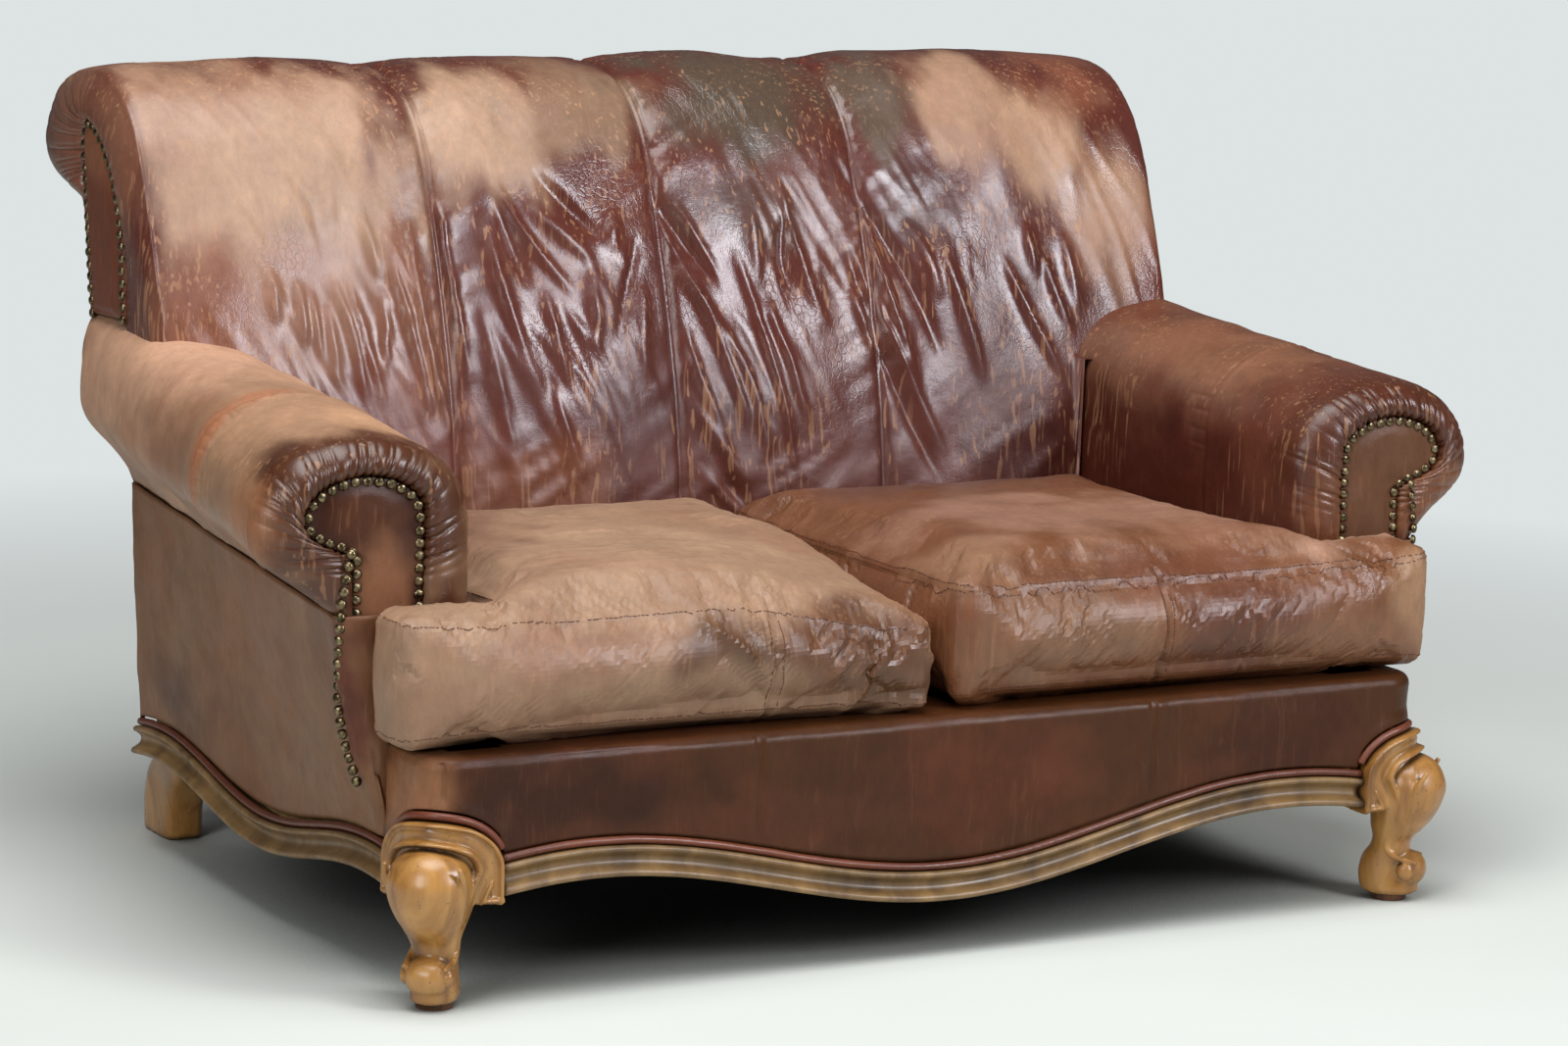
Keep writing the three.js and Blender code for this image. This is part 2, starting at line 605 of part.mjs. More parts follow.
// The outer face of the outside back at a height.
function rearY(z) {
  const line = rearLine.getPoints(60);
  const above = line.findIndex((p) => p.y >= z);
  if (above < 1) return above < 0 ? line.at(-1).x : line[0].x;
  const [a, b] = [line[above - 1], line[above]];
  return mix(a.x, b.x, (z - a.y) / (b.y - a.y));
}
// Everything behind the inner face of the outside back, to trim what ends there.
function behindOutsideBack() {
  const heights = [0, 160, 300, 470, 680, 815];
  return boardFromSide(
    [...heights.map((z) => V2(rearY(z) - OUTSIDE_BACK - GAP, z)), V2(DEEP_BACK, 815), V2(DEEP_BACK, 0)], -FAR_OUT, FAR_OUT,
  );
}

const POST_X1 = -(ARM_INNER + ARM_SPACE_IN + POST_CLEAR);
const POST_X0 = POST_X1 - POST_WIDTH;
const POST_DEPTH = 44;
const postRear = (z) => rearY(z) - OUTSIDE_BACK - 2;
function backPostOutline(room) {
  const heights = [FRAME_TOP + GAP - room, 470, 680, 790];
  const top = BACK_RAIL_TOP + room;
  return [
    ...heights.map((z) => V2(postRear(z) + room, z)), V2(BACK_RAIL_REAR + room, 796), V2(BACK_RAIL_REAR + room, top),
    V2(postRear(790) - POST_DEPTH - room, top), ...heights.toReversed().map((z) => V2(postRear(z) - POST_DEPTH - room, z)),
  ];
}

function armBody() {
  const gather = PLEAT;
  const frontDepths = [
    [0, 1, 0], [-7, 0.85, 1], [-ROLL_BULGE, 0.55, 1], [-ROLL_BULGE + 3, 0.28, 0.7], [-1, 0.08, 0.3], [20, 0, 0],
  ];
  const nails = nailOutline();
  const front = frontDepths.map(([ahead, towardsNails, pleat]) => {
    const body = armOutline(depthShare(ARM_FRONT + Math.max(ahead, 0)));
    return body.map((p, i) => {
      const onRoll = i > 4 && i < 3 + ROLL_COUNT + UNDER_COUNT;
      const gathered = onRoll ? pleat * gather * (i % 2 ? 1 : -1) : 0;
      const q = p.clone().lerp(nails[i], towardsNails);
      return V3(q.x, ARM_FRONT + ahead - gathered, q.y);
    });
  });
  const rest = [0.3, 0.6, 1].map((share) => {
    const y = mix(ARM_FRONT, ARM_BACK, share);
    return armOutline(depthShare(y)).map((p) => V3(p.x, y, p.y));
  });
  const outer = loft([...front, ...rest], seenFromFront);
  const inner = -ARM_INNER - ARM_SPACE_IN;
  const railIn = -(ARM_INNER + ARM_RAIL_IN) + 2;
  const railOut = railIn - ARM_RAIL_WIDTH - 4;
  const roof = ARM_RAIL_TOP + 5;
  const frameSpace = boardFromFront(
    [V2(inner, 0), V2(inner, ARM_RAIL_BOTTOM - 25), V2(railIn, ARM_RAIL_BOTTOM + 17), V2(railIn, roof), V2(railOut, roof),
      V2(railOut, ARM_RAIL_BOTTOM - 9), V2(railOut + 24, ARM_RAIL_BOTTOM - 21), V2(railOut + 24, ROLL_LIP - 14),
      V2(-FAR_OUT, ROLL_LIP - 14), V2(-FAR_OUT, 0)],
    ARM_FRONT + ARM_FRONT_BOARD, DEEP_BACK,
  );
  const postSpace = boardFromSide(
    [V2(postRear(FRAME_TOP) - POST_DEPTH - 2, 0), V2(postRear(470) - POST_DEPTH - 2, 470),
      V2(postRear(680) - POST_DEPTH - 2, 720), V2(DEEP_BACK, 720), V2(DEEP_BACK, 0)],
    POST_X0 - 2, -ARM_INNER + 1,
  );
  return cut(outer, frameSpace, postSpace, behindOutsideBack());
}

// A dome-headed nail, sunk a little into what carries it. towards is the way it faces.
const NAIL_SIDES = 4;
function nail(place, towards) {
  const head = new THREE.LatheGeometry([V2(0, -1), V2(NAIL_RADIUS, -1), V2(0, NAIL_HEIGHT)], NAIL_SIDES);
  const turn = new THREE.Quaternion().setFromUnitVectors(V3(0, 1, 0), towards);
  return head.applyQuaternion(turn).translate(place.x, place.y, place.z);
}
function evenly(points, pitch) {
  const path = new THREE.CurvePath();
  points.slice(1).forEach((p, i) => path.add(new THREE.LineCurve(points[i], p)));
  const count = Math.floor(path.getLength() / pitch);
  return range(count + 1).map((i) => path.getPointAt(i / count));
}
// An outline grown by an amount, each corner along its own bisector.
function grown(outline, out) {
  const turn = Math.sign(THREE.ShapeUtils.area(outline));
  return outline.map((p, i) => {
    const before = outline[(i + outline.length - 1) % outline.length];
    const after = outline[(i + 1) % outline.length];
    const a = p.clone().sub(before).normalize();
    const b = after.clone().sub(p).normalize();
    const normal = V2(a.y + b.y, -a.x - b.x).normalize().multiplyScalar(turn);
    return p.clone().addScaledVector(normal, out);
  });
}

function armPanel() {
  const bottom = DECK_TOP + 4;
  const line = nailOutline().filter((p) => p.y > bottom + 1);
  const outline = [V2(line[0].x, bottom), ...line, V2(-(panelOut(bottom, 0) - 2 * OUTSIDE_PANEL - 2), bottom)];
  const plate = boardFromFront(grown(outline, -1.5), ARM_FRONT - GAP - PANEL_THICKNESS, ARM_FRONT - GAP);
  const path = grown(outline, -NAIL_RADIUS - 2.5);
  const nails = evenly(path, NAIL_PITCH).map((p) => nail(V3(p.x, ARM_FRONT - GAP - PANEL_THICKNESS, p.y), V3(0, -1, 0)));
  return join(plate, ...nails);
}

// The outside arm panel: from the piping up to the lip under the roll.
function outsideArm() {
  const stations = 9;
  const rings = range(stations + 1).map((i) => {
    const y = mix(BORDER_BACK + 2 * GAP, BASE_BACK + 60, i / stations);
    const share = depthShare(y);
    const low = sideWave(y) + RAIL_HEIGHT + WELT + 2.4;
    const high = lipPoint(share).y - 2;
    const heights = range(4).map((k) => mix(low, high, k / 3));
    return [
      ...heights.map((z) => V3(-panelOut(z, share), y, z)),
      ...heights.toReversed().map((z) => V3(-panelOut(z, share) + OUTSIDE_PANEL, y, z)),
    ];
  });
  return cut(loft(rings, seenFromFront), behindOutsideBack());
}

// Arm timber
function armPost() {
  const y = ARM_FRONT + ARM_FRONT_BOARD + GAP;
  return box(POST_X0, POST_X1, y, y + 46, FRAME_TOP + GAP, ARM_RAIL_BOTTOM - GAP);
}
function armRail() {
  const y0 = ARM_FRONT + ARM_FRONT_BOARD + GAP;
  const y1 = postRear(ARM_RAIL_BOTTOM) - POST_DEPTH - 2;
  const x = -(ARM_INNER + ARM_RAIL_IN);
  return box(x - ARM_RAIL_WIDTH, x, y0, y1, ARM_RAIL_BOTTOM, ARM_RAIL_TOP);
}

// Back

// The back from the side, as (y, z): up the front, over the roll to its underside, and down the inner face
// of the outside back. push swells the front and the roll.
const FRONT_LINE = [[150, 262], [156, 340], [163, 430], [178, 545], [206, 660], [242, 770], [284, 870]];
const ROLL_LINE = [
  [318, 921], [360, 954], [412, 969], [464, 971], [520, 963], [570, 941], [604, 908], [618, 876], [606, 852],
  [572, 834], [520, 822], [467, 815],
];
function backProfile(push) {
  const rear = [806, 680, 470, 262].map((z) => [rearY(z) - OUTSIDE_BACK - GAP, z]);
  const line = [...FRONT_LINE, ...ROLL_LINE, ...rear].map(([y, z]) => V2(y, z));
  const swell = (i) => (i < 2 || i > FRONT_LINE.length + 8 ? 0 : push);
  const outwards = grown(line, 1);
  return line.map((p, i) => p.clone().addScaledVector(outwards[i].clone().sub(p), swell(i)));
}
// The nail line on the end of the back, point for point with backProfile.
const FACING_FRONT = [[313, 262], [313, 340], [313, 430], [313, 560], [315, 680], [322, 770], [342, 838]];
const FACING_ROLL = [
  [362, 868], [382, 888], [404, 903], [424, 911], [440, 914], [449, 909], [455, 900], [458, 886], [458, 872],
  [456, 856], [453, 840], [449, 815],
];
const FACING_REAR = [[447, 800], [430, 680], [405, 470], [385, 262]];
const facingOutline = () => [...FACING_FRONT, ...FACING_ROLL, ...FACING_REAR].map(([y, z]) => V2(y, z));

// What an arm takes up, with a little room, to trim the back that rests on it.
function armRoom() {
  const room = 1.5;
  const rings = [100, 300, 560].map((y) => {
    const outline = armOutline(Math.min(depthShare(y), 1.1)).slice(0, 3 + ROLL_COUNT + 1);
    const low = outline.at(-1);
    const closed = [V2(-ARM_INNER, 200), ...outline.slice(1), V2(low.x, 200)];
    return grown(closed, room).map((p) => V3(p.x, y, p.y));
  });
  return loft(rings, seenFromFront);
}

function backBody() {
  const ends = [[BACK_HALF_WIDTH, 1], [BACK_HALF_WIDTH + 8, 0.86], [BACK_HALF_WIDTH + BACK_BULGE, 0.55], [BACK_HALF_WIDTH + 7, 0.2]];
  const facing = facingOutline();
  const endRings = ends.map(([x, towards], k) =>
    backProfile(0).map((p, i) => {
      const onRoll = i >= 5 && i < FRONT_LINE.length + ROLL_LINE.length - 1;
      const pleat = onRoll && k > 0 ? (i % 2 ? PLEAT : -PLEAT) : 0;
      const q = p.clone().lerp(facing[i], towards);
      return V3(-x - pleat, q.x, q.y);
    }),
  );
  const edges = [-BACK_HALF_WIDTH + 6, ...BACK_SEAMS, BACK_HALF_WIDTH - 6];
  const stations = [];
  edges.slice(1).forEach((right, k) => {
    const left = edges[k];
    for (const t of [0, 0.07, 0.36, 0.64, 0.93]) stations.push([mix(left, right, t), FLUTE * Math.sin(Math.PI * t) ** 0.5]);
  });
  stations.push([edges.at(-1), 0]);
  const middle = stations.map(([x, push]) => backProfile(push).map((p) => V3(x, p.x, p.y)));
  const farRings = endRings.map((ring) => ring.map((p) => V3(-p.x, p.y, p.z))).toReversed();
  const whole = loft([...endRings, ...middle, ...farRings], seenFromSide);
  const space = boardFromSide(
    [V2(150 + BACK_WALL, 0), V2(163 + BACK_WALL, 430), V2(206 + BACK_WALL, 660), V2(256 + BACK_WALL, 800), V2(366, BACK_RAIL_TOP + 10),
      V2(BACK_RAIL_REAR + 2, BACK_RAIL_TOP + 10), V2(BACK_RAIL_REAR + 2, 798), V2(DEEP_BACK, 798), V2(DEEP_BACK, 0)],
    -(BACK_HALF_WIDTH - 40), BACK_HALF_WIDTH - 40,
  );
  const room = armRoom();
  const outsideArms = box(-FAR_OUT, -ARM_INNER + 1.5, 0, DEEP_BACK, 0, 560);
  return cut(whole, space, room, mirror(room), outsideArms, mirror(outsideArms));
}

function backFacing() {
  const x = -BACK_HALF_WIDTH - GAP;
  const bottom = 676;
  const line = facingOutline().filter((p, i) => p.y > bottom + 1 && i < FACING_FRONT.length + FACING_ROLL.length + 1);
  const outline = [V2(314, bottom), ...line, V2(rearY(bottom) - 11, bottom)];
  const plate = boardFromSide(grown(outline, -1.5), x - PANEL_THICKNESS, x);
  const path = grown(outline, -NAIL_RADIUS - 2);
  const nails = evenly(path, NAIL_PITCH).map((p) => nail(V3(x - PANEL_THICKNESS, p.x, p.y), V3(-1, 0, 0)));
  return join(plate, ...nails);
}

function outsideBack() {
  const heights = [135, 300, 470, 680, 804];
  const outer = heights.map((z) => V2(rearY(z), z));
  const inner = heights.map((z) => V2(rearY(z) - OUTSIDE_BACK, z)).toReversed();
  const slabShape = boardFromSide([...outer, ...inner], -FAR_OUT, FAR_OUT);
  const half = [
    [RAIL_INNER_FACE - GAP, 100], [RAIL_INNER_FACE - GAP, 178], [LEATHER_X, 182],
    [LEATHER_X, 462], [ARM_INNER + 140, 525], [ARM_INNER + 152, 575], [ARM_INNER + 156, 680], [ARM_INNER + 156, 900]];
  const front = boardFromFront(
    [...half.map(([x, z]) => V2(x, z)), ...half.toReversed().map(([x, z]) => V2(-x, z))], 0, DEEP_BACK,
  );
  return toGeometry(toSolid(slabShape).intersect(toSolid(front)));
}

function backPost() {
  return boardFromSide(backPostOutline(0), POST_X0, POST_X1);
}
function backTopRail() {
  return box(
    POST_X1 + GAP, -POST_X1 - GAP, BACK_RAIL_REAR - BACK_RAIL_DEPTH, BACK_RAIL_REAR, BACK_RAIL_TOP - BACK_RAIL_HEIGHT, BACK_RAIL_TOP,
  );
}
function backLowRail() {
  return box(POST_X1 + GAP, -POST_X1 - GAP, 354, 381, 296, 345);
}
function backWeb(x) {
  const [low, high] = [V2(347.3, 300), V2(388.4, 862)];
  return boardFromSide(
    [low, V2(low.x + WEB_THICKNESS, low.y), V2(high.x + WEB_THICKNESS, high.y), high], x - WEB_WIDTH / 2, x + WEB_WIDTH / 2,
  );
}

// Seat: springs, deck and cushions
function seatSpring(x) {
  const [y0, y1] = [FRONT_FRAME_BACK - 14, BACK_FRAME_FRONT + 14];
  const bends = SPRING_BENDS;
  const middle = range(bends + 1).map((i) => {
    const swing = i === 0 || i === bends ? 0 : i % 2 ? SPRING_SWING : -SPRING_SWING;
    return V2(x + swing, mix(y0, y1, i / bends));
  });
  const [low, high] = [FRAME_TOP + GAP, FRAME_TOP + GAP + SPRING_WIRE];
  const half = SPRING_WIRE * 0.8;
  return loft(
    middle.map((p) => [V3(p.x - half, p.y, low), V3(p.x + half, p.y, low), V3(p.x + half, p.y, high), V3(p.x - half, p.y, high)]),
    seenFromFront,
  );
}
function seatDeck() {
  const x = ARM_INNER - GAP;
  return box(-x, x, BORDER_BACK + 2 * GAP, CUSHION_BACK, FRAME_TOP + 12, DECK_TOP - GAP);
}

// One cushion, on the left. Its outline from above, counterclockwise, with rounded corners.
function cushionOutline() {
  const [inner, outer, ear] = [-CUSHION_SPLIT, -ARM_INNER + CUSHION_SIDE_GAP, -EAR_OUT];
  const r = CUSHION_CORNER;
  const shape = new THREE.Path();
  shape.moveTo(ear + r, CUSHION_FRONT);
  const front = [0.2, 0.4, 0.6, 0.8];
  front.forEach((t) => shape.lineTo(mix(ear + r, inner - r, t), CUSHION_FRONT));
  shape.lineTo(inner - r, CUSHION_FRONT);
  shape.quadraticCurveTo(inner, CUSHION_FRONT, inner, CUSHION_FRONT + r);
  [0.25, 0.5, 0.75].forEach((t) => shape.lineTo(inner, mix(CUSHION_FRONT + r, CUSHION_BACK - r, t)));
  shape.lineTo(inner, CUSHION_BACK - r);
  shape.quadraticCurveTo(inner, CUSHION_BACK, inner - r, CUSHION_BACK);
  [0.33, 0.67].forEach((t) => shape.lineTo(mix(inner - r, outer + r, t), CUSHION_BACK));
  shape.lineTo(outer + r, CUSHION_BACK);
  shape.quadraticCurveTo(outer, CUSHION_BACK, outer, CUSHION_BACK - r);
  [0.33, 0.67].forEach((t) => shape.lineTo(outer, mix(CUSHION_BACK - r, EAR_BACK + 8, t)));
  shape.lineTo(outer, EAR_BACK + 8);
  shape.lineTo(outer - 8, EAR_BACK);
  shape.lineTo(ear + r * 0.8, EAR_BACK);
  shape.quadraticCurveTo(ear, EAR_BACK, ear, EAR_BACK - r * 0.8);
  shape.lineTo(ear, CUSHION_FRONT + r);
  shape.quadraticCurveTo(ear, CUSHION_FRONT, ear + r, CUSHION_FRONT);
  const points = shape.getPoints(3);
  points.pop();
  return points;
}
function cushion(sag) {
  const outline = cushionOutline();
  const bottom = DECK_TOP + GAP;
  const seam = bottom + CUSHION_THICKNESS;
  const inset = (amount) => grown(outline, -amount);
  // Where each point of the outline heads on the crown: the middle of the ear, or the middle of the seat.
  const clamp = THREE.MathUtils.clamp;
  const [earMiddle, seatFront] = [-407, -300];
  const heart = outline.map((p) => {
    const seat = V2(clamp(p.x, -430, -140), clamp(p.y, seatFront, -20));
    const onEar = p.x < -ARM_INNER - 5;
    if (onEar) return V2(clamp(p.x, -664, -560), earMiddle);
    if (p.x > -430) return seat;
    if (p.y > CUSHION_FRONT + 30) return V2(-540, -390).lerp(seat, smooth(p.y, EAR_BACK, EAR_BACK + 170));
    return V2(Math.max(p.x, -545), earMiddle).lerp(seat, smooth(p.x, -545, -430));
  });
  const crownAt = (x) => CROWN * mix(0.4, 1, smooth(x, -660, -470));
  const inwards = (amount, t) => inset(amount).map((p, i) => p.lerp(heart[i], t));
  const levels = [
    [inset(14), bottom], [inset(BOXING_BULGE * 0.5), bottom + 12], [inset(0), mix(bottom, seam, 0.5)],
    [inset(BOXING_BULGE * 0.6), seam - 6], [inset(BOXING_BULGE), seam], [inwards(BOXING_BULGE, 0.2), seam, 0.55],
    [inwards(BOXING_BULGE, 0.7), seam, 1],
  ];
  const corner = V2(-CUSHION_SPLIT, CUSHION_FRONT);
  return loft(
    levels.map(([ring, level, rise = 0]) =>
      ring.map((p) => {
        const z = level + rise * crownAt(p.x);
        const slump = sag * (1 - smooth(p.distanceTo(corner), 0, SAG_REACH)) * ((z - bottom) / CUSHION_THICKNESS);
        return V3(p.x, p.y, z - slump);
      }),
    ),
    seenFromAbove,
  );
}

// The sofa
const sofa = new THREE.Group();
sofa.name = "sofa";
const material = (color, roughness, metalness = 0) => new THREE.MeshStandardMaterial({ color, roughness, metalness });
function add(name, geometry, color, roughness, metalness = 0) {
  const mesh = new THREE.Mesh(geometry, material(color, roughness, metalness));
  mesh.name = name;
  sofa.add(mesh);
  return mesh;
}
function addPair(name, geometry, ...looks) {
  add(`${name}_left`, geometry, ...looks);
  add(`${name}_right`, mirror(geometry), ...looks);
}
const WOOD = ["#8a5a2a", 0.35];
const LEATHER = ["#7a3f26", 0.5];
const TAN_LEATHER = ["#a5703f", 0.6];
const TIMBER = ["#c9ad7f", 0.8];

add("front_rail", frontRail(), "#8d7138", 0.45);
addPair("side_rail", sideRail(), "#8d7138", 0.45);
addPair("front_leg", cabrioleLeg(), ...WOOD);
addPair("front_foot_pad", footPad(), "#3a2a1c", 0.8);
addPair("back_leg", backLeg(), ...WOOD);
add("front_piping", frontWelt(), "#8a3a26", 0.45);
addPair("side_piping", sideWelt(), "#8a3a26", 0.45);
addPair("leg_piping", legWelt(), "#8a3a26", 0.45);
add("front_border", frontBorder(), "#5c2f20", 0.5);
addPair("outside_arm", outsideArm(), ...LEATHER);
addPair("arm", armBody(), ...TAN_LEATHER);
addPair("arm_front_panel", armPanel(), ...LEATHER);
add("back", backBody(), "#54301f", 0.35);
addPair("back_facing", backFacing(), ...LEATHER);
add("outside_back", outsideBack(), ...LEATHER);
add("cushion_left", cushion(CORNER_SAG), "#8f6a3c", 0.5);
add("cushion_right", mirror(cushion(0)), "#7d4226", 0.45);
add("front_frame_rail", frontFrameRail(), ...TIMBER);
addPair("side_frame_rail", sideFrameRail(), ...TIMBER);
add("back_frame_rail", backFrameRail(), ...TIMBER);
add("centre_brace", centreBrace(), ...TIMBER);
addPair("corner_block", cornerBlock(), ...TIMBER);
addPair("arm_post", armPost(), ...TIMBER);
addPair("arm_rail", armRail(), ...TIMBER);
addPair("back_post", backPost(), ...TIMBER);
add("back_top_rail", backTopRail(), ...TIMBER);
add("back_low_rail", backLowRail(), ...TIMBER);
for (const i of range(WEB_COUNT)) add(`back_web_${i + 1}`, backWeb(mix(-440, 440, i / (WEB_COUNT - 1))), "#b7a27a", 0.9);
for (const i of range(SPRING_COUNT)) add(`seat_spring_${i + 1}`, seatSpring(mix(-500, 500, i / (SPRING_COUNT - 1))), "#6f7276", 0.4, 0.9);
add("seat_deck", seatDeck(), "#4a3a2c", 0.9);
add("dust_cover", dustCover(), "#232020", 0.95);

const placed = new THREE.Group();
placed.name = "sofa_at_origin";
const bounds = new THREE.Box3().setFromObject(sofa);
sofa.position.y = -(bounds.min.y + bounds.max.y) / 2;
placed.add(sofa);
export default placed;
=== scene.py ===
import math

import bmesh
import bpy
import numpy as np
from mathutils import Matrix, Vector
from mathutils.bvhtree import BVHTree


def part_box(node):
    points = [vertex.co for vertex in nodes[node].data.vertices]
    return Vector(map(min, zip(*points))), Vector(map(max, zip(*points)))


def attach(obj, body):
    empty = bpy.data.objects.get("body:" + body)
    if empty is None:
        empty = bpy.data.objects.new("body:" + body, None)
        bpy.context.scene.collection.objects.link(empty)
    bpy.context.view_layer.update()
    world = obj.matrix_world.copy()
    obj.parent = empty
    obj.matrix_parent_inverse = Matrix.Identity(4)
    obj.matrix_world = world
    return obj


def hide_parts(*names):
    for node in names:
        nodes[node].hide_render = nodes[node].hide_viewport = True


# Frame and sizes. Lengths are millimetres in the sofa's own frame. Pieces are put into metres when made.
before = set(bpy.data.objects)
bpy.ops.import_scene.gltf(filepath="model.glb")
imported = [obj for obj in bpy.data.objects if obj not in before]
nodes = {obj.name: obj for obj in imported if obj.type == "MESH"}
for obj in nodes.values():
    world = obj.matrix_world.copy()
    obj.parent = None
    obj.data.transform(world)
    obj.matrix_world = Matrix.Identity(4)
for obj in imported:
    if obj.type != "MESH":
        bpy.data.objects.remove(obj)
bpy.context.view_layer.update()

BASE_HALF_WIDTH = 688
BASE_FRONT = -480
BASE_BACK = 385
RAIL_HEIGHT = 36
RAIL_THICKNESS = 34
WELT = 10
LEATHER_SET_BACK = 12
CORNER_RADIUS = 45
BORDER_WALL = 21
DECK_TOP = 285
LEG_SET_IN = 21
SHOULDER_STRAIGHT = 45
SHOULDER_BOTTOM = 118
ARCH_TOP = 215
ARCH_SPRING = 160
FOOT_PAD_HEIGHT = 8
ARM_INNER = BASE_HALF_WIDTH - 128
ARM_FRONT = -336
ARM_BACK = 470
ARM_TOP = 633
ARM_RISE = 48
ARM_BOTTOM = 261
ROLL_WIDTH = 272
ROLL_TAPER = 92
ROLL_SQUARE = 1
ROLL_TILT = 25
LIP_TAPER = 65
LIP_RISE = 32
ROLL_SPRING = 530
ROLL_LIP = 434
LIP_X = ARM_INNER + 178
PANEL_FOOT_Z = 175
PANEL_FOOT = 289
OUTSIDE_PANEL = 8
HEAD_X = ARM_INNER + 140
HEAD_Z = 541
HEAD_HALF_WIDTH = 73
HEAD_HALF_HEIGHT = 46
NAIL_PITCH = 14.7
BACK_HALF_WIDTH = ARM_INNER + 162
BACK_SEAMS = [-345, -32, 266]
FLUTE = 13
OUTSIDE_BACK = 6
CUSHION_FRONT = -462
CUSHION_BACK = 134
EAR_OUT = ARM_INNER + 152
EAR_BACK = -354
CUSHION_THICKNESS = 150
CROWN = 30
CORNER_SAG = 48
SAG_REACH = 330

LEATHER_X = BASE_HALF_WIDTH - LEATHER_SET_BACK
LEATHER_FRONT = BASE_FRONT + LEATHER_SET_BACK
RAIL_END_X = LEATHER_X - CORNER_RADIUS - SHOULDER_STRAIGHT
RAIL_END_Y = LEATHER_FRONT + CORNER_RADIUS + SHOULDER_STRAIGHT
BORDER_BACK = ARM_FRONT - 15.6
SHIFT_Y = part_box("cushion_left")[0].y * 1000 - CUSHION_FRONT


# The photograph's camera: turn, downward tilt and roll in radians, place in metres, focal length in pixels
CAMERA_YAW = 0.50920
CAMERA_PITCH = 0.16924
CAMERA_ROLL = 0.028171
CAMERA_PLACE = (-2.962, -5.352, 1.484)
FOCAL_PIXELS = 5088.2
PHOTO_WIDTH = 1600
SENSOR_WIDTH = 36


def set_camera():
    yaw, pitch, roll = CAMERA_YAW, CAMERA_PITCH, CAMERA_ROLL
    forward = np.array([math.sin(yaw) * math.cos(pitch), math.cos(yaw) * math.cos(pitch), -math.sin(pitch)])
    level = np.array([math.cos(yaw), -math.sin(yaw), 0.0])
    up = np.cross(level, forward)
    right = math.cos(roll) * level + math.sin(roll) * up
    top = -math.sin(roll) * level + math.cos(roll) * up
    data = bpy.data.cameras.new("camera")
    camera = bpy.data.objects.new("camera", data)
    bpy.context.scene.collection.objects.link(camera)
    place = np.array(CAMERA_PLACE)
    place[1] += SHIFT_Y / 1000
    matrix = Matrix.Identity(4)
    for row in range(3):
        matrix[row][0] = right[row]
        matrix[row][1] = top[row]
        matrix[row][2] = -forward[row]
        matrix[row][3] = place[row]
    camera.matrix_world = matrix
    data.sensor_width = SENSOR_WIDTH
    data.lens = FOCAL_PIXELS / PHOTO_WIDTH * SENSOR_WIDTH
    data.clip_end = 100
    bpy.context.scene.camera = camera


set_camera()


# Small maths
def lerp(a, b, t):
    return a + (b - a) * t


def smooth(x, low, high):
    t = np.clip((x - low) / (high - low), 0, 1)
    return t * t * (3 - 2 * t)


def bell(x, width):
    return np.exp(-(x / width) ** 2)


def lattice(i, j, k, seed):
    h = (i * 374761393 + j * 668265263 + k * 1440662683 + seed * 1274126177) & 0xFFFFFFFF
    h = ((h ^ (h >> 13)) * 1274126177) & 0xFFFFFFFF
    return ((h ^ (h >> 16)) & 0xFFFF) / 32767.5 - 1


def noise(points, size, seed, octaves=1):
    """Smooth noise from about -1 to 1 at points (..., 3); size is the length of one bump."""
    total = 0
    weight = 1.0
    for octave in range(octaves):
        p = np.asarray(points, float) / np.asarray(size, float) * 2**octave
        base = np.floor(p).astype(np.int64)
        t = p - base
        t = t * t * (3 - 2 * t)
        value = 0
        for corner in range(8):
            di, dj, dk = corner & 1, corner >> 1 & 1, corner >> 2
            share = 1
            for axis, step in enumerate((di, dj, dk)):
                share = share * (t[..., axis] if step else 1 - t[..., axis])
            value = value + share * lattice(
                base[..., 0] + di, base[..., 1] + dj, base[..., 2] + dk, seed + octave * 17
            )
        total = total + weight * value
        weight *= 0.5
    return total


def ridges(points, size, seed, octaves=1):
    """Sharp crests at 1, falling to about 0 between them."""
    return 1 - np.minimum(1, 2.2 * np.abs(noise(points, size, seed, octaves)))


def spline(points, steps_each):
    """A Catmull-Rom curve through points, steps_each pieces to each span, evenly in their index."""
    p = np.asarray(points, float)
    p = np.vstack([2 * p[0] - p[1], p, 2 * p[-1] - p[-2]])
    out = []
    for i in range(1, len(p) - 2):
        for t in np.arange(steps_each) / steps_each:
            a, b, c, d = p[i - 1], p[i], p[i + 1], p[i + 2]
            out.append(0.5 * (
                2 * b + (c - a) * t + (2 * a - 5 * b + 4 * c - d) * t**2 + (3 * b - a - 3 * c + d) * t**3
            ))
    out.append(p[-2])
    return np.array(out)


def running_length(points):
    """Length along a polyline up to each of its points."""
    return np.concatenate([[0], np.cumsum(np.linalg.norm(np.diff(points, axis=0), axis=1))])


def picked(points, reach, at):
    """Points of a polyline where its running value reach has the values at."""
    return np.stack([np.interp(at, reach, points[:, axis]) for axis in range(points.shape[1])], axis=1)


def along(points, count=None, pitch=None):
    """Points evenly spaced along a polyline."""
    p = np.asarray(points, float)
    reach = running_length(p)
    if pitch:
        count = max(2, int(round(reach[-1] / pitch)) + 1)
    return picked(p, reach, np.linspace(0, reach[-1], count))


def along_by(points, count, weight):
    """Points along a polyline, closer together where weight (one value for each point) is larger."""
    p = np.asarray(points, float)
    gaps = np.linalg.norm(np.diff(p, axis=0), axis=1) * (weight[1:] + weight[:-1]) / 2
    reach = np.concatenate([[0], np.cumsum(gaps)])
    return picked(p, reach, np.linspace(0, reach[-1], count))


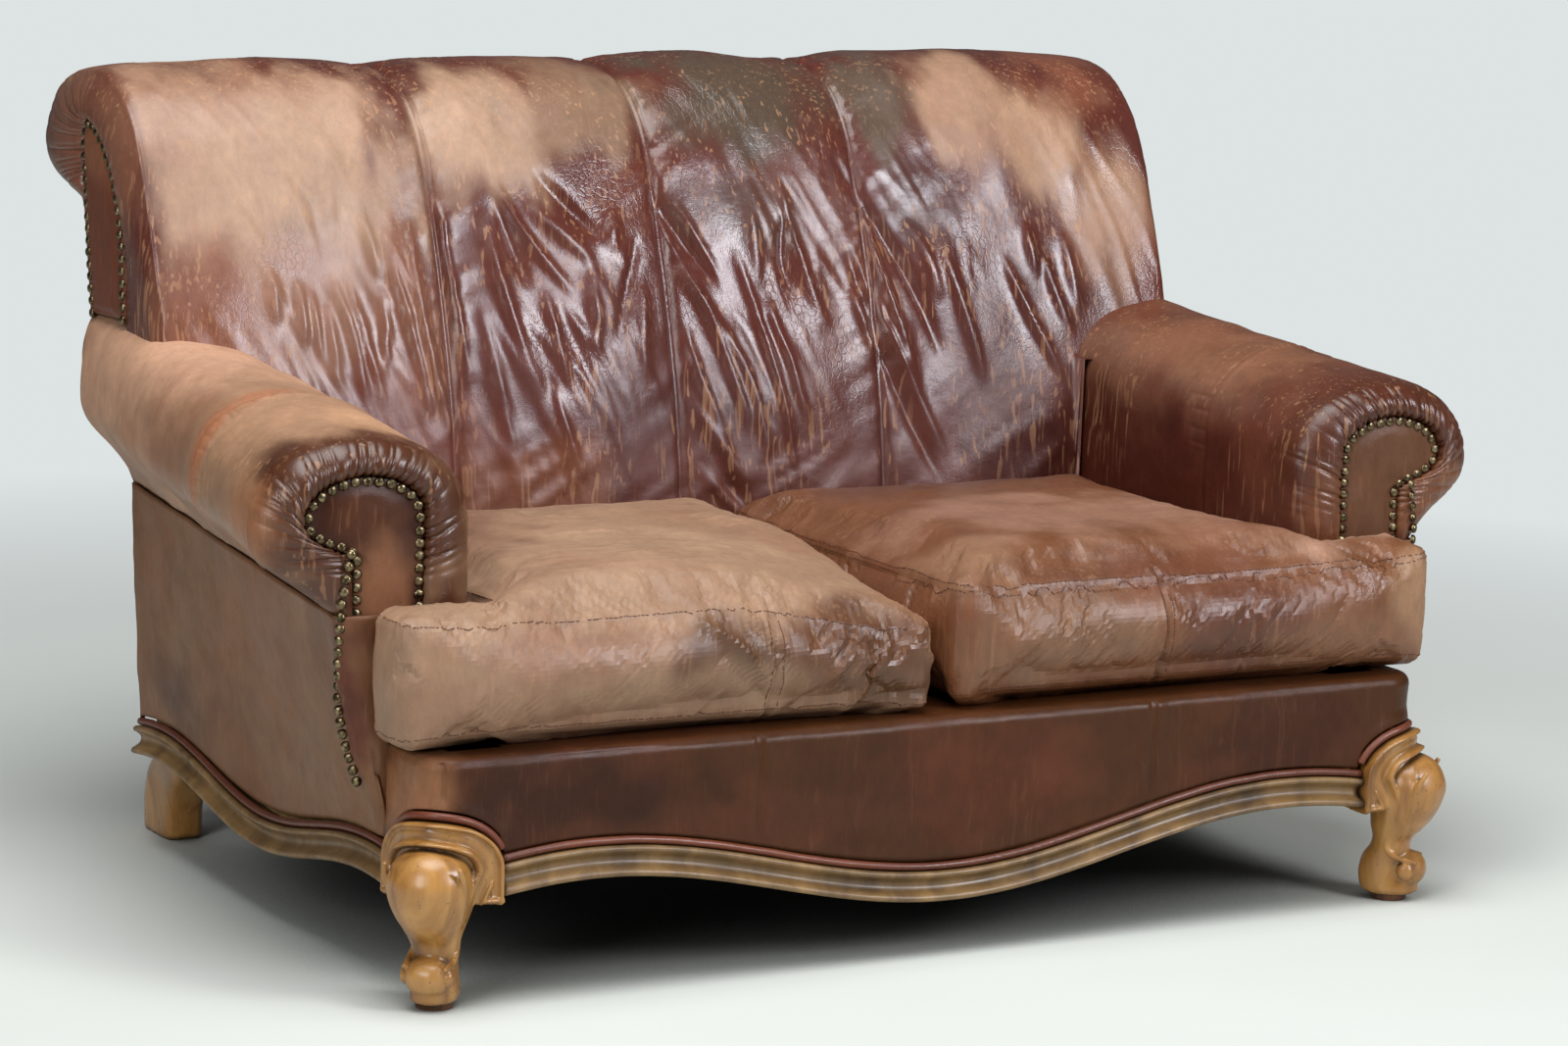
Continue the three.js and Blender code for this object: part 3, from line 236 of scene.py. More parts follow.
def stations(low, high, count, crowded):
    """Values from low to high, closer together near each (place, reach, density) of crowded."""
    fine = np.linspace(low, high, 4000)
    weight = np.ones_like(fine)
    for place, reach, density in crowded:
        weight += density * bell(fine - place, reach)
    total = np.concatenate([[0], np.cumsum((weight[1:] + weight[:-1]) / 2)])
    return np.interp(np.linspace(0, total[-1], count), total, fine)


def gathers(position, away, seed, pitch, reach, depth):
    """Sharp pinched creases that start at an edge and die out away from it, in (away, position) order."""
    rng = np.random.default_rng(seed)
    result = np.zeros((len(away), len(position)))
    at = position.min() + pitch * rng.uniform(0.2, 0.8)
    while at < position.max():
        slant = rng.normal(0, 0.09)
        length = reach * rng.uniform(0.35, 1.5)
        deep = depth * rng.uniform(0.4, 1.1)
        wide = rng.uniform(1.5, 2.8)
        gap = np.abs(position[None, :] - at - slant * away[:, None])
        fade = np.exp(-np.maximum(away, 0) ** 1.5 / length**1.5)[:, None]
        result = np.maximum(result, deep * fade * np.exp(-gap / (wide + 0.02 * away[:, None])))
        at += pitch * rng.uniform(0.55, 1.6)
    return result


def front_wave(x):
    return 101 - 35 * np.cos(np.pi * np.asarray(x, float) / 470)


def side_wave(y):
    return 108 - 20 * np.cos(np.pi * (np.asarray(y, float) + 8) / 310)


def rear_y(z):
    return np.interp(z, [0, 160, 300, 470, 680, 815], [385, 385, 396, 412, 440, 467])


# Pieces
def to_row(points):
    """Millimetres in the sofa's frame to metres in the row frame."""
    p = np.asarray(points, float).copy()
    p[..., 1] += SHIFT_Y
    return p / 1000


def points_of(obj):
    """Points of a piece in millimetres in the sofa's frame."""
    co = np.zeros(len(obj.data.vertices) * 3)
    obj.data.vertices.foreach_get("co", co)
    p = co.reshape(-1, 3) * 1000
    p[:, 1] -= SHIFT_Y
    return p


def piece(name, points, faces, material, slot, replaced=()):
    mesh = bpy.data.meshes.new(name)
    mesh.from_pydata([tuple(p) for p in to_row(points).reshape(-1, 3)], [], [tuple(f) for f in faces])
    mesh.validate()
    mesh.shade_smooth()
    obj = bpy.data.objects.new(name, mesh)
    bpy.context.scene.collection.objects.link(obj)
    obj.data.materials.append(material)
    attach(obj, "root")
    if replaced:
        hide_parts(*replaced)
    return obj


def facing_front(outline, y):
    """Points (x, z) put at depth y."""
    return np.insert(np.asarray(outline, float), 1, y, axis=1)


def level(plan, z):
    """Points (x, y) put at height z."""
    return np.insert(np.asarray(plan, float), 2, z, axis=1)


def grid_faces(rows, columns, wrap=False, flip=False):
    r, c = np.meshgrid(np.arange(rows - 1), np.arange(columns if wrap else columns - 1), indexing="ij")
    nxt = (c + 1) % columns
    quads = np.stack([
        r * columns + c, r * columns + nxt, (r + 1) * columns + nxt, (r + 1) * columns + c,
    ], axis=-1)
    quads = quads.reshape(-1, 4)
    return quads[:, ::-1] if flip else quads


def outward(points, wrap=False):
    """Unit normals of a grid of points (rows, columns, 3)."""
    down = np.gradient(points, axis=0)
    if wrap:
        across = (np.roll(points, -1, axis=1) - np.roll(points, 1, axis=1)) / 2
    else:
        across = np.gradient(points, axis=1)
    normal = np.cross(down, across)
    return normal / np.maximum(np.linalg.norm(normal, axis=-1, keepdims=True), 1e-9)


def tube_points(path, radius, sides=10):
    """Rings round a path (n, 3); radius is a number or one value for each ring."""
    path = np.asarray(path, float)
    tangent = np.gradient(path, axis=0)
    tangent /= np.maximum(np.linalg.norm(tangent, axis=1, keepdims=True), 1e-9)
    reference = np.array([0.0, 0.0, 1.0])
    if np.abs(tangent @ reference).max() > 0.98:
        reference = np.array([0.31, 0.9, 0.1])
    side = np.cross(tangent, reference)
    side /= np.maximum(np.linalg.norm(side, axis=1, keepdims=True), 1e-9)
    other = np.cross(side, tangent)
    angle = 2 * np.pi * np.arange(sides) / sides
    radius = np.broadcast_to(radius, len(path))[:, None, None]
    ring = np.cos(angle)[None, :, None] * side[:, None, :] + np.sin(angle)[None, :, None] * other[:, None, :]
    return path[:, None, :] + radius * ring


def tube(path, radius, sides=10):
    rings = tube_points(path, radius, sides)
    count = len(rings)
    faces = [tuple(f) for f in grid_faces(count, sides, wrap=True, flip=True)]
    faces.append(tuple(range(sides)))
    faces.append(tuple(reversed([(count - 1) * sides + i for i in range(sides)])))
    return rings.reshape(-1, 3), faces


def merged(parts):
    """One list of points and faces from several."""
    points, faces, start = [], [], 0
    for p, f in parts:
        points.append(np.asarray(p).reshape(-1, 3))
        faces += [tuple(int(i) + start for i in face) for face in f]
        start += len(points[-1])
    return np.vstack(points), faces


def mirrored(part):
    points, faces = part
    flipped = np.asarray(points, float).reshape(-1, 3) * [-1, 1, 1]
    return flipped, [tuple(reversed(f)) for f in faces]


def unchanged(part):
    return part


SIDES = (("left", unchanged), ("right", mirrored))


# Colours, written as they look
def colour(code):
    values = [int(code[i : i + 2], 16) / 255 for i in (1, 3, 5)]
    return [v / 12.92 if v <= 0.04045 else ((v + 0.055) / 1.055) ** 2.4 for v in values]


def paint(obj, base, patches, seed=1, wander=60, dull_below=None):
    """Colour for each point of a piece: a base, then soft patches (centre, reach, colour, strength).

    Patches have uneven edges of size wander. The fourth value is the polish, lower below dull_below.
    """
    p = points_of(obj)
    tint = np.tile(colour(base), (len(p), 1))
    for k, (centre, reach, code, strength) in enumerate(patches):
        q = (p - np.array(centre)) / np.array(reach)
        edge = 0.35 * noise(p, wander, seed + 5 * k, 3)
        share = strength * (1 - smooth(np.linalg.norm(q, axis=1) + edge, 0.45, 1.15))
        tint += share[:, None] * (np.array(colour(code)) - tint)
    data = obj.data.attributes.new("tint", "FLOAT_COLOR", "POINT")
    rgba = np.ones((len(p), 4), np.float32)
    rgba[:, :3] = tint
    if dull_below is not None:
        rgba[:, 3] = 0.25 + 0.75 * smooth(
            p[:, 2] + 45 * noise(p, 90, seed + 77, 2), dull_below - 130, dull_below + 90,
        )
    data.data.foreach_set("color", rgba.ravel())


# Materials
class Nodes:
    """Short ways to add and join shader nodes."""

    def __init__(self, name):
        self.material = bpy.data.materials.new(name)
        self.material.use_nodes = True
        self.tree = self.material.node_tree
        self.shader = self.tree.nodes["Principled BSDF"]

    def add(self, kind, inputs=None, **settings):
        node = self.tree.nodes.new(kind)
        for key, value in settings.items():
            setattr(node, key, value)
        for key, value in (inputs or {}).items():
            self.feed(node.inputs[key], value)
        return node

    def feed(self, socket, value):
        """Joins a socket to another one, or sets its constant. A text is a colour code."""
        if isinstance(value, bpy.types.NodeSocket):
            self.tree.links.new(value, socket)
        else:
            socket.default_value = (*colour(value), 1) if isinstance(value, str) else value

    def place(self, scale=(1, 1, 1), turn=(0, 0, 0)):
        where = self.add("ShaderNodeTexCoord")
        return self.add(
            "ShaderNodeMapping", {"Vector": where.outputs["Object"], "Scale": scale, "Rotation": turn}
        ).outputs[0]

    def noise(self, scale, detail=2.0, vector=None, distortion=0.0, roughness=0.5):
        inputs = {"Scale": scale, "Detail": detail, "Distortion": distortion, "Roughness": roughness}
        inputs["Vector"] = self.place() if vector is None else vector
        return self.add("ShaderNodeTexNoise", inputs).outputs["Fac"]

    def ramp(self, value, stops):
        node = self.add("ShaderNodeValToRGB", {"Fac": value})
        elements = node.color_ramp.elements
        while len(elements) < len(stops):
            elements.new(0.5)
        for element, (at, shade) in zip(elements, stops):
            element.position = at
            rgb = (shade,) * 3 if isinstance(shade, (int, float)) else tuple(colour(shade))
            element.color = (*rgb, 1)
        return node.outputs["Color"]

    def mix(self, share, a, b, blend="MIX"):
        node = self.add("ShaderNodeMix", data_type="RGBA", blend_type=blend)
        for key, value in ((0, share), (6, a), (7, b)):
            self.feed(node.inputs[key], value)
        return node.outputs[2]

    def maths(self, kind, a, b=0.0):
        node = self.add("ShaderNodeMath", operation=kind)
        for key, value in ((0, a), (1, b)):
            self.feed(node.inputs[key], value)
        return node.outputs[0]

    def bump(self, height, strength, distance, normal=None):
        inputs = {"Height": height, "Strength": strength, "Distance": distance}
        if normal is not None:
            inputs["Normal"] = normal
        return self.add("ShaderNodeBump", inputs).outputs[0]

    def finish(self, tint, rough, normal=None, **constants):
        self.feed(self.shader.inputs["Base Color"], tint)
        self.feed(self.shader.inputs["Roughness"], rough)
        if normal is not None:
            self.tree.links.new(normal, self.shader.inputs["Normal"])
        for key, value in constants.items():
            self.shader.inputs[key.replace("_", " ")].default_value = value
        return self.material


def leather(name, gloss, scratch=0.5, mottle=0.5, scratch_colour="#c08a5e", matte=0.26, shine=0.5):
    """Pull-up leather: painted tint, clouds, pores and hairline scratches. Pale, worn parts are matte."""
    n = Nodes(name)
    attribute = n.add("ShaderNodeAttribute", attribute_name="tint")
    painted = attribute.outputs["Color"]
    polish = attribute.outputs["Alpha"]
    clouds = n.ramp(n.noise(11, 6, roughness=0.68), [(0.3, 0.36), (0.5, 0.5), (0.7, 0.62)])
    tint = n.mix(mottle, painted, clouds, "OVERLAY")
    fine = n.ramp(n.noise(85, 5, n.place((1, 1, 0.45), (0.2, 0.1, 0)), 0.3, 0.75), [(0.3, 0.38), (0.7, 0.6)])
    tint = n.mix(0.6, tint, fine, "OVERLAY")
    rust = n.ramp(n.noise(4.2, 4, roughness=0.6), [(0.52, 0.0), (0.74, 0.4)])
    tint = n.mix(rust, tint, "#74402a")
    lines = None
    warp = n.add("ShaderNodeTexNoise", {"Scale": 7.0, "Detail": 2.0, "Vector": n.place()}).outputs["Color"]
    for turn, scale, length in (((0.15, 0.25, 0.4), 150.0, 0.012), ((0.5, 0.9, 1.9), 120.0, 0.016),
                                ((0.1, -0.6, 1.2), 180.0, 0.014), ((1.45, 0.5, 0.2), 140.0, 0.014)):
        bent = n.mix(0.03, n.place((1, 1, length), turn), warp, "ADD")
        streak = n.ramp(n.noise(scale, 1.0, bent), [(0.63, 0.0), (0.69, 0.8)])
        spread = n.ramp(n.noise(7.0, 2, n.place((1, 1, 0.5), turn)), [(0.5, 0.0), (0.62, 1.0)])
        both = n.maths("MULTIPLY", streak, spread)
        lines = both if lines is None else n.maths("MAXIMUM", lines, both)
    amount = n.maths("MULTIPLY", lines, scratch)
    tint = n.mix(amount, tint, scratch_colour)
    pores = n.add(
        "ShaderNodeTexVoronoi", {"Scale": 700.0, "Vector": n.place(), "Randomness": 1.0}, feature="F1"
    ).outputs["Distance"]
    cells = n.add(
        "ShaderNodeTexVoronoi",
        {"Scale": 120.0, "Vector": n.mix(0.004, n.place((1, 1, 0.7)), warp, "ADD"), "Randomness": 1.0},
        feature="DISTANCE_TO_EDGE",
    ).outputs["Distance"]
    creases = n.maths(
        "MULTIPLY", n.ramp(cells, [(0.0, 1.0), (0.1, 0.0)]), n.ramp(n.noise(5, 3), [(0.5, 0.0), (0.68, 1.0)])
    )
    normal = n.bump(pores, 0.2, 0.0004)
    normal = n.bump(n.maths("SUBTRACT", 1.0, creases), 0.3, 0.0006, normal)
    normal = n.bump(n.noise(42, 5, roughness=0.6), 0.32, 0.0022, normal)
    light = n.add("ShaderNodeRGBToBW", {"Color": painted}).outputs[0]
    worn = n.ramp(light, [(0.05, 0.0), (0.3, 1.0)])
    cloud = n.ramp(n.noise(8, 5, roughness=0.7), [(0.32, gloss - 0.06), (0.68, gloss + 0.12)])
    rough = n.maths("ADD", cloud, n.maths("MULTIPLY", worn, matte))
    rough = n.maths("ADD", rough, n.maths("MULTIPLY", amount, 0.2))
    rough = n.maths("ADD", rough, n.maths("MULTIPLY", n.maths("SUBTRACT", 1.0, polish), 0.24))
    return n.finish(tint, rough, normal, Specular_IOR_Level=shine)


def show_wood(name, light, middle, dark, gloss=0.3, grime_depth=0.85, coat=0.25):
    """Varnished turned and carved wood, dirt in the hollows, dark specks, faint grain along Z."""
    n = Nodes(name)
    grain = n.noise(26, 5, n.place((1, 1, 0.16)), 0.7, 0.6)
    tint = n.ramp(grain, [(0.3, dark), (0.48, middle), (0.72, light)])
    cloud = n.ramp(n.noise(14, 3), [(0.35, 0.42), (0.7, 0.58)])
    tint = n.mix(0.7, tint, cloud, "OVERLAY")
    ao = n.add("ShaderNodeAmbientOcclusion", {"Distance": 0.009}, samples=6).outputs["AO"]
    grime = n.ramp(ao, [(0.45, 1.0), (0.88, 0.0)])
    tint = n.mix(n.maths("MULTIPLY", grime, grime_depth), tint, "#24140a")
    speck = n.add(
        "ShaderNodeTexVoronoi", {"Scale": 150.0, "Vector": n.place(), "Randomness": 1.0}, feature="F1"
    ).outputs["Distance"]
    spots = n.maths(
        "MULTIPLY", n.maths("LESS_THAN", speck, 0.13), n.ramp(n.noise(40, 2), [(0.5, 0.0), (0.56, 1.0)]),
    )
    tint = n.mix(n.maths("MULTIPLY", spots, 0.8), tint, "#22140a")
    normal = n.bump(grain, 0.08, 0.0008)
    normal = n.bump(n.noise(60, 3), 0.08, 0.001, normal)
    rough = n.ramp(n.noise(20, 3), [(0.3, gloss - 0.05), (0.7, gloss + 0.15)])
    return n.finish(tint, rough, normal, Coat_Weight=coat, Coat_Roughness=0.2)


def plain_cloth(name, light, dark, scale):
    n = Nodes(name)
    where = n.place()
    one = n.add(
        "ShaderNodeTexWave", {"Scale": scale, "Vector": where, "Distortion": 0.4}, bands_direction="X",
    )
    two = n.add(
        "ShaderNodeTexWave", {"Scale": scale, "Vector": where, "Distortion": 0.4}, bands_direction="Y",
    )
    weave = n.maths("MULTIPLY", one.outputs["Fac"], two.outputs["Fac"])
    tint = n.ramp(
        n.maths("ADD", n.maths("MULTIPLY", weave, 0.5), n.maths("MULTIPLY", n.noise(9, 4), 0.5)),
        [(0.2, dark), (0.8, light)],
    )
    return n.finish(tint, 0.9, n.bump(weave, 0.4, 0.0006))


def metal(name, light, dark, rough):
    n = Nodes(name)
    patina = n.noise(160, 4)
    tint = n.ramp(patina, [(0.38, dark), (0.62, light)])
    shine = n.ramp(n.noise(90, 3), [(0.3, rough - 0.08), (0.7, rough + 0.14)])
    return n.finish(tint, shine, n.bump(patina, 0.15, 0.0004), Metallic=1.0)


def raw_timber(name):
    n = Nodes(name)
    grain = n.noise(18, 6, n.place((0.15, 1.2, 1.2)), 1.2, 0.6)
    tint = n.ramp(grain, [(0.3, "#8d6b42"), (0.55, "#b8935f"), (0.75, "#cdb083")])
    return n.finish(tint, 0.75, n.bump(grain, 0.3, 0.001))


BACK_LEATHER = leather("back_leather", 0.24, 0.45, 0.45, "#b98a64", 0.3, 0.52)
ARM_LEATHER = leather("arm_leather", 0.3, 0.4, 0.6, "#b98a64", 0.28, 0.45)
CUSHION_LEATHER = leather("cushion_leather", 0.34, 0.22, 0.65, "#b08560", 0.26, 0.4)
PANEL_LEATHER = leather("panel_leather", 0.36, 0.15, 0.5, "#a8714a", 0.2, 0.2)
OUTSIDE_LEATHER = leather("outside_leather", 0.42, 0.25, 0.6, "#9a7552", 0.2, 0.25)
BORDER_LEATHER = leather("border_leather", 0.38, 0.1, 0.55, "#8a5a3d", 0.2, 0.2)
PIPING_LEATHER = leather("piping_leather", 0.32, 0.2, 0.3, "#8a5a3d", 0.2, 0.4)
THREAD = plain_cloth("thread", "#7a4a34", "#4a281b", 900)
LEG_WOOD = show_wood("leg_wood", "#b98a4c", "#9b6c34", "#6e4519")
RAIL_WOOD = show_wood("rail_wood", "#8f7046", "#735733", "#513b22", 0.42, 0.65, 0.08)
NAIL_METAL = metal("nail_metal", "#8b7c5e", "#3f3526", 0.34)
SPRING_STEEL = metal("spring_steel", "#8b8f93", "#4e5053", 0.4)
TIMBER = raw_timber("frame_timber")
WEBBING = plain_cloth("webbing", "#c2ab7e", "#7d6a47", 260)
DECK_CLOTH = plain_cloth("deck_cloth", "#3b2f25", "#1d1712", 300)
DUST_CLOTH = plain_cloth("dust_cloth", "#1c1b1a", "#0c0c0b", 500)
rubber = Nodes("foot_pad")
PAD_RUBBER = rubber.finish(
    rubber.ramp(rubber.noise(60, 4), [(0.35, "#3f2414"), (0.7, "#6a4122")]), 0.55,
    rubber.bump(rubber.noise(90, 3), 0.3, 0.001),
)

# Hidden CAD pieces keep their shape and get the material that they are made of
KEPT = {
    "rail": TIMBER, "brace": TIMBER, "corner_block": TIMBER, "post": TIMBER, "web": WEBBING,
    "spring": SPRING_STEEL, "deck": DECK_CLOTH, "dust_cover": DUST_CLOTH,
}
for node_name, node in nodes.items():
    for word, material in KEPT.items():
        hidden_rail = word != "rail" or "frame" in node_name or "top_rail" in node_name
        if word in node_name and (hidden_rail or "low_rail" in node_name or "arm_rail" in node_name):
            node.data.materials.clear()
            node.data.materials.append(material)


# Show wood rails
def moulding_section():
    t, h = RAIL_THICKNESS, RAIL_HEIGHT
    front = [
        (0, 0), (t - 8, 0), (t - 3, 0.8), (t - 0.4, 3), (t, 5.5), (t - 1.5, 8.3), (t - 4, 9.6), (t - 5, 10.2),
        (t - 9, 12), (t - 12.5, 15.5), (t - 13.6, 19.5), (t - 12.4, 23.5), (t - 9, 26.5), (t - 7.4, 27.4),
        (t - 7.0, 28.4), (t - 3.6, 29.4), (t - 2.4, 32), (t - 3.2, 34.6), (t - 6.5, h), (t - 10, h), (0, h),
    ]
    return np.array(front, float)


def solid_loft(rings, flip=False):
    """A closed solid through rings (rows, columns, 3), both ends filled."""
    rows, columns = rings.shape[:2]
    faces = [tuple(f) for f in grid_faces(rows, columns, wrap=True, flip=flip)]
    first = tuple(range(columns))
    last = tuple((rows - 1) * columns + i for i in range(columns))
    faces += [first[::-1], last] if not flip else [first, last[::-1]]
    return rings.reshape(-1, 3), faces


section = moulding_section()
rail_x = np.linspace(-(RAIL_END_X - 0.5), RAIL_END_X - 0.5, 140)
front_section = section * [-1, 1] + [BASE_FRONT + RAIL_THICKNESS, 0]
front_rings = np.stack([np.insert(front_section + [0, front_wave(x)], 0, x, axis=1) for x in rail_x])
front_rings[..., 1] += 0.25 * noise(front_rings, (25, 25, 12), 3, 2)
piece("front_rail_moulding", *solid_loft(front_rings), RAIL_WOOD, "rail_wood", ["front_rail"])
rail_y = np.linspace(RAIL_END_Y + 0.5, BASE_BACK, 90)
side_section = section * [-1, 1] - [BASE_HALF_WIDTH - RAIL_THICKNESS, 0]
side_rings = np.stack([facing_front(side_section + [0, side_wave(y)], y) for y in rail_y])
side_part = solid_loft(side_rings, flip=True)
for side, turn in SIDES:
    piece("side_rail_moulding_" + side, *turn(side_part), RAIL_WOOD, "rail_wood", ["side_rail_" + side])


# Front legs
def corner_plan(reach, out):
    """The leather's line round the left front corner, from reach along it and out from it."""
    reach = np.asarray(reach, float)
    half_arc = CORNER_RADIUS * math.pi / 4
    turn = np.clip(reach / half_arc, -1, 1)
    angle = math.pi + math.pi / 4 - turn * math.pi / 4
    x = -(LEATHER_X - CORNER_RADIUS) + np.cos(angle) * (CORNER_RADIUS + out)
    y = LEATHER_FRONT + CORNER_RADIUS + np.sin(angle) * (CORNER_RADIUS + out)
    x = x + np.maximum(-reach - half_arc, 0)
    y = y + np.maximum(reach - half_arc, 0)
    return x, y


SHOULDER_REACH = CORNER_RADIUS * math.pi / 4 + SHOULDER_STRAIGHT
FOOT_X = -(LEATHER_X - LEG_SET_IN)
FOOT_Y = LEATHER_FRONT + LEG_SET_IN


def leg_point(across, out, z):
    s = math.sqrt(0.5)
    return np.stack(np.broadcast_arrays(FOOT_X + s * (across - out), FOOT_Y - s * (across + out), z), axis=-1)


def shoulder_out(ring, reach):
    """How far the carved shoulder stands out at ring, 1 at the arch and 0 at the knee's middle."""
    at = [
        0, 0.34, 0.46, 0.52, 0.545, 0.58, 0.615, 0.64, 0.66, 0.72, 0.80, 0.87, 0.905, 0.925, 0.955, 0.98, 1.0,
    ]
    out = [16, 15, 13, 12, 20, 23, 22, 17, 11.5, 12.5, 13, 11.5, 10.5, 15.5, 17, 16, 11]
    return np.interp(ring, at, out)


def leg_part():
    heights = [0, 6, 24, 44, 58, 70, 84, 98, 116, 136, 152, 164, 172, 177]
    middles = [-2, -2, -5, -6, -3, 0, 5, 10, 13, 16, 15, 14, 13, 12]
    deeps = [30, 36, 36, 31, 25, 25, 33, 39, 45, 47, 44, 38, 29, 18]
    wides = [24, 27, 25, 24, 26, 29, 34, 40, 46, 48, 45, 38, 27, 15]
    rows = spline(np.stack([heights, middles, deeps, wides], axis=1), 6)
    angle = np.linspace(0, 2 * np.pi, 72, endpoint=False)
    rings = []
    for height, middle, deep, wide in rows:
        crest = 1 + 0.05 * bell(np.abs(np.sin(angle)) - 0.35, 0.12) * smooth(np.array(height), 40, 90)
        across = wide * np.cos(angle) * crest
        out = middle + deep * np.sin(angle) * crest
        rings.append(leg_point(across, out, FOOT_PAD_HEIGHT + 0.3 + height))
    knee = solid_loft(np.stack(rings))
    # Carved shoulder
    stations = np.linspace(-SHOULDER_REACH, SHOULDER_REACH, 170)
    shoulder_rings = []
    for reach in stations:
        share = abs(reach) / SHOULDER_REACH
        top = ARCH_SPRING + (ARCH_TOP - ARCH_SPRING) * math.sqrt(max(0.0, 1 - share**2))
        low = SHOULDER_BOTTOM + 6 * (1 - share)
        z = np.linspace(low, top, 100)
        upper = np.hypot(share, np.maximum(z - ARCH_SPRING, 0) / (ARCH_TOP - ARCH_SPRING))
        narrowing = 1 + 0.5 * np.maximum(ARCH_SPRING - z, 0) / (ARCH_SPRING - SHOULDER_BOTTOM) * (share < 0.8)
        ring = np.minimum(upper * narrowing, 1)
        out = shoulder_out(ring, reach)
        foot_rim = bell(z - low - 5, 3.4) * smooth(np.array(share), 0.62, 0.7)
        out = lerp(out, np.maximum(out, 16.5), foot_rim)
        out = out - 4 * bell(z - low, 2.5)
        x, y = corner_plan(np.full_like(z, reach), out)
        xb, yb = corner_plan(np.full_like(z, reach), -BORDER_WALL + 1)
        face = np.stack([x, y, z], axis=1)
        rear = np.stack([xb, yb, z], axis=1)[::-1]
        shoulder_rings.append(np.vstack([face, rear]))
    shoulder = solid_loft(np.stack(shoulder_rings), flip=True)
    # Scroll of the toe: a drum with a spiral end on each side
    drum_rings = []
    half_drum = (
        (31.5, 2.5), (31, 6.5), (28.5, 10), (25.5, 10.6), (23.5, 9.2), (22, 12.5), (19.5, 16.5), (15, 19.6),
        (9, 21.6), (3, 22.2),
    )
    for across, radius in [(-a, r) for a, r in half_drum] + [(a, r) for a, r in half_drum[::-1]]:
        a = np.linspace(0, 2 * np.pi, 48, endpoint=False)
        drum_rings.append(
            leg_point(np.full_like(a, across), 21 + radius * np.cos(a), 40 + radius * np.sin(a))
        )
    drum = solid_loft(np.stack(drum_rings), flip=True)
    # Ridge down each side of the knee to the scroll
    ridges_made = []
    for side in (-1, 1):
        path = spline([[side * 44, 46, 172], [side * 46, 34, 150], [side * 39, 20, 120], [side * 30, 6, 92],
                       [side * 25, -4, 72], [side * 26, 8, 58], [side * 24, 34, 52]], 8)
        points = leg_point(path[:, 0], path[:, 1], path[:, 2])
        ridges_made.append(
            tube(points, np.interp(np.linspace(0, 1, len(path)), [0, 0.2, 0.8, 1], [3, 4.5, 4, 3]), 12)
        )
    x0, x1 = -(LEATHER_X - 12), -RAIL_END_X
    y0, y1 = LEATHER_FRONT + 12, RAIL_END_Y
    plan = ((x0, y0), (x1, y0), (x1, y1), (x0, y1))
    corners = [[x, y, z] for z in (SHOULDER_BOTTOM + 1, ARCH_SPRING - 3) for x, y in plan]
    block = (np.array(corners, float), [
        (0, 3, 2, 1), (4, 5, 6, 7), (0, 1, 5, 4), (1, 2, 6, 5), (2, 3, 7, 6), (3, 0, 4, 7),
    ])
    return merged([knee, shoulder, drum, *ridges_made, block])


def modifier_applied(obj, name):
    bpy.context.view_layer.objects.active = obj
    with bpy.context.temp_override(object=obj, active_object=obj, selected_objects=[obj]):
        bpy.ops.object.modifier_apply(modifier=name)


def voxel_skin(obj, voxel):
    """Turns overlapping closed parts into one even skin."""
    remesh = obj.modifiers.new("remesh", "REMESH")
    remesh.mode = "VOXEL"
    remesh.voxel_size = voxel
    modifier_applied(obj, "remesh")


def softened(obj):
    soften = obj.modifiers.new("soften", "SMOOTH")
    soften.factor = 0.5
    soften.iterations = 1
    modifier_applied(obj, "soften")
    obj.data.shade_smooth()


leg = leg_part()
for side, turn in SIDES:
    carved = piece("carved_front_leg_" + side, *turn(leg), LEG_WOOD, "leg_wood", ["front_leg_" + side])
    voxel_skin(carved, 0.0018)
    softened(carved)
    nodes["front_foot_pad_" + side].data.materials.clear()
    nodes["front_foot_pad_" + side].data.materials.append(PAD_RUBBER)


# Back legs
def back_leg():
    rows = spline([
        [0, 606, 447, 23, 43], [6, 606, 447, 25, 46], [45, 609, 438, 25, 48], [80, 615, 412, 25, 50],
        [108, 621, 375, 25, 50], [129, 624, 335, 25, 46],
    ], 6)
    angle = np.linspace(0, 2 * np.pi, 40, endpoint=False)
    rings = []
    for z, x, y, wide, deep in rows:
        c, s = np.cos(angle), np.sin(angle)
        round_box = 1 / (np.abs(c) ** 6 + np.abs(s) ** 6) ** (1 / 6)
        rings.append(np.stack([
            -x + wide * c * round_box, y + deep * s * round_box, np.full_like(angle, z),
        ], axis=1))
    return solid_loft(np.stack(rings))


block_leg = back_leg()
for side, turn in SIDES:
    piece("splayed_back_leg_" + side, *turn(block_leg), LEG_WOOD, "leg_wood", ["back_leg_" + side])

# Piping
x = np.linspace(-(RAIL_END_X - 1), RAIL_END_X - 1, 160)
front_path = np.stack([
    x, np.full_like(x, LEATHER_FRONT), front_wave(x) + RAIL_HEIGHT + 0.3 + WELT / 2,
], axis=1)
front_path += 0.5 * np.stack([noise(front_path, 30, s) for s in (5, 6, 7)], axis=1)
welts = piece("front_welt", *tube(front_path, 4.6, 14), PIPING_LEATHER, "piping", ["front_piping"])
paint(welts, "#5b2f20", [((-300, -470, 150), (300, 60, 60), "#7a412b", 0.6)])
y = np.linspace(RAIL_END_Y + 1, BASE_BACK - 1, 110)
side_path = np.stack([np.full_like(y, -LEATHER_X), y, side_wave(y) + RAIL_HEIGHT + 0.3 + WELT / 2], axis=1)
angle = np.linspace(math.pi - 0.33, 0.33, 60)
arch_out = WELT / 2 + 1.2
normal = np.stack([np.cos(angle) / SHOULDER_REACH, np.sin(angle) / (ARCH_TOP - ARCH_SPRING)], axis=1)
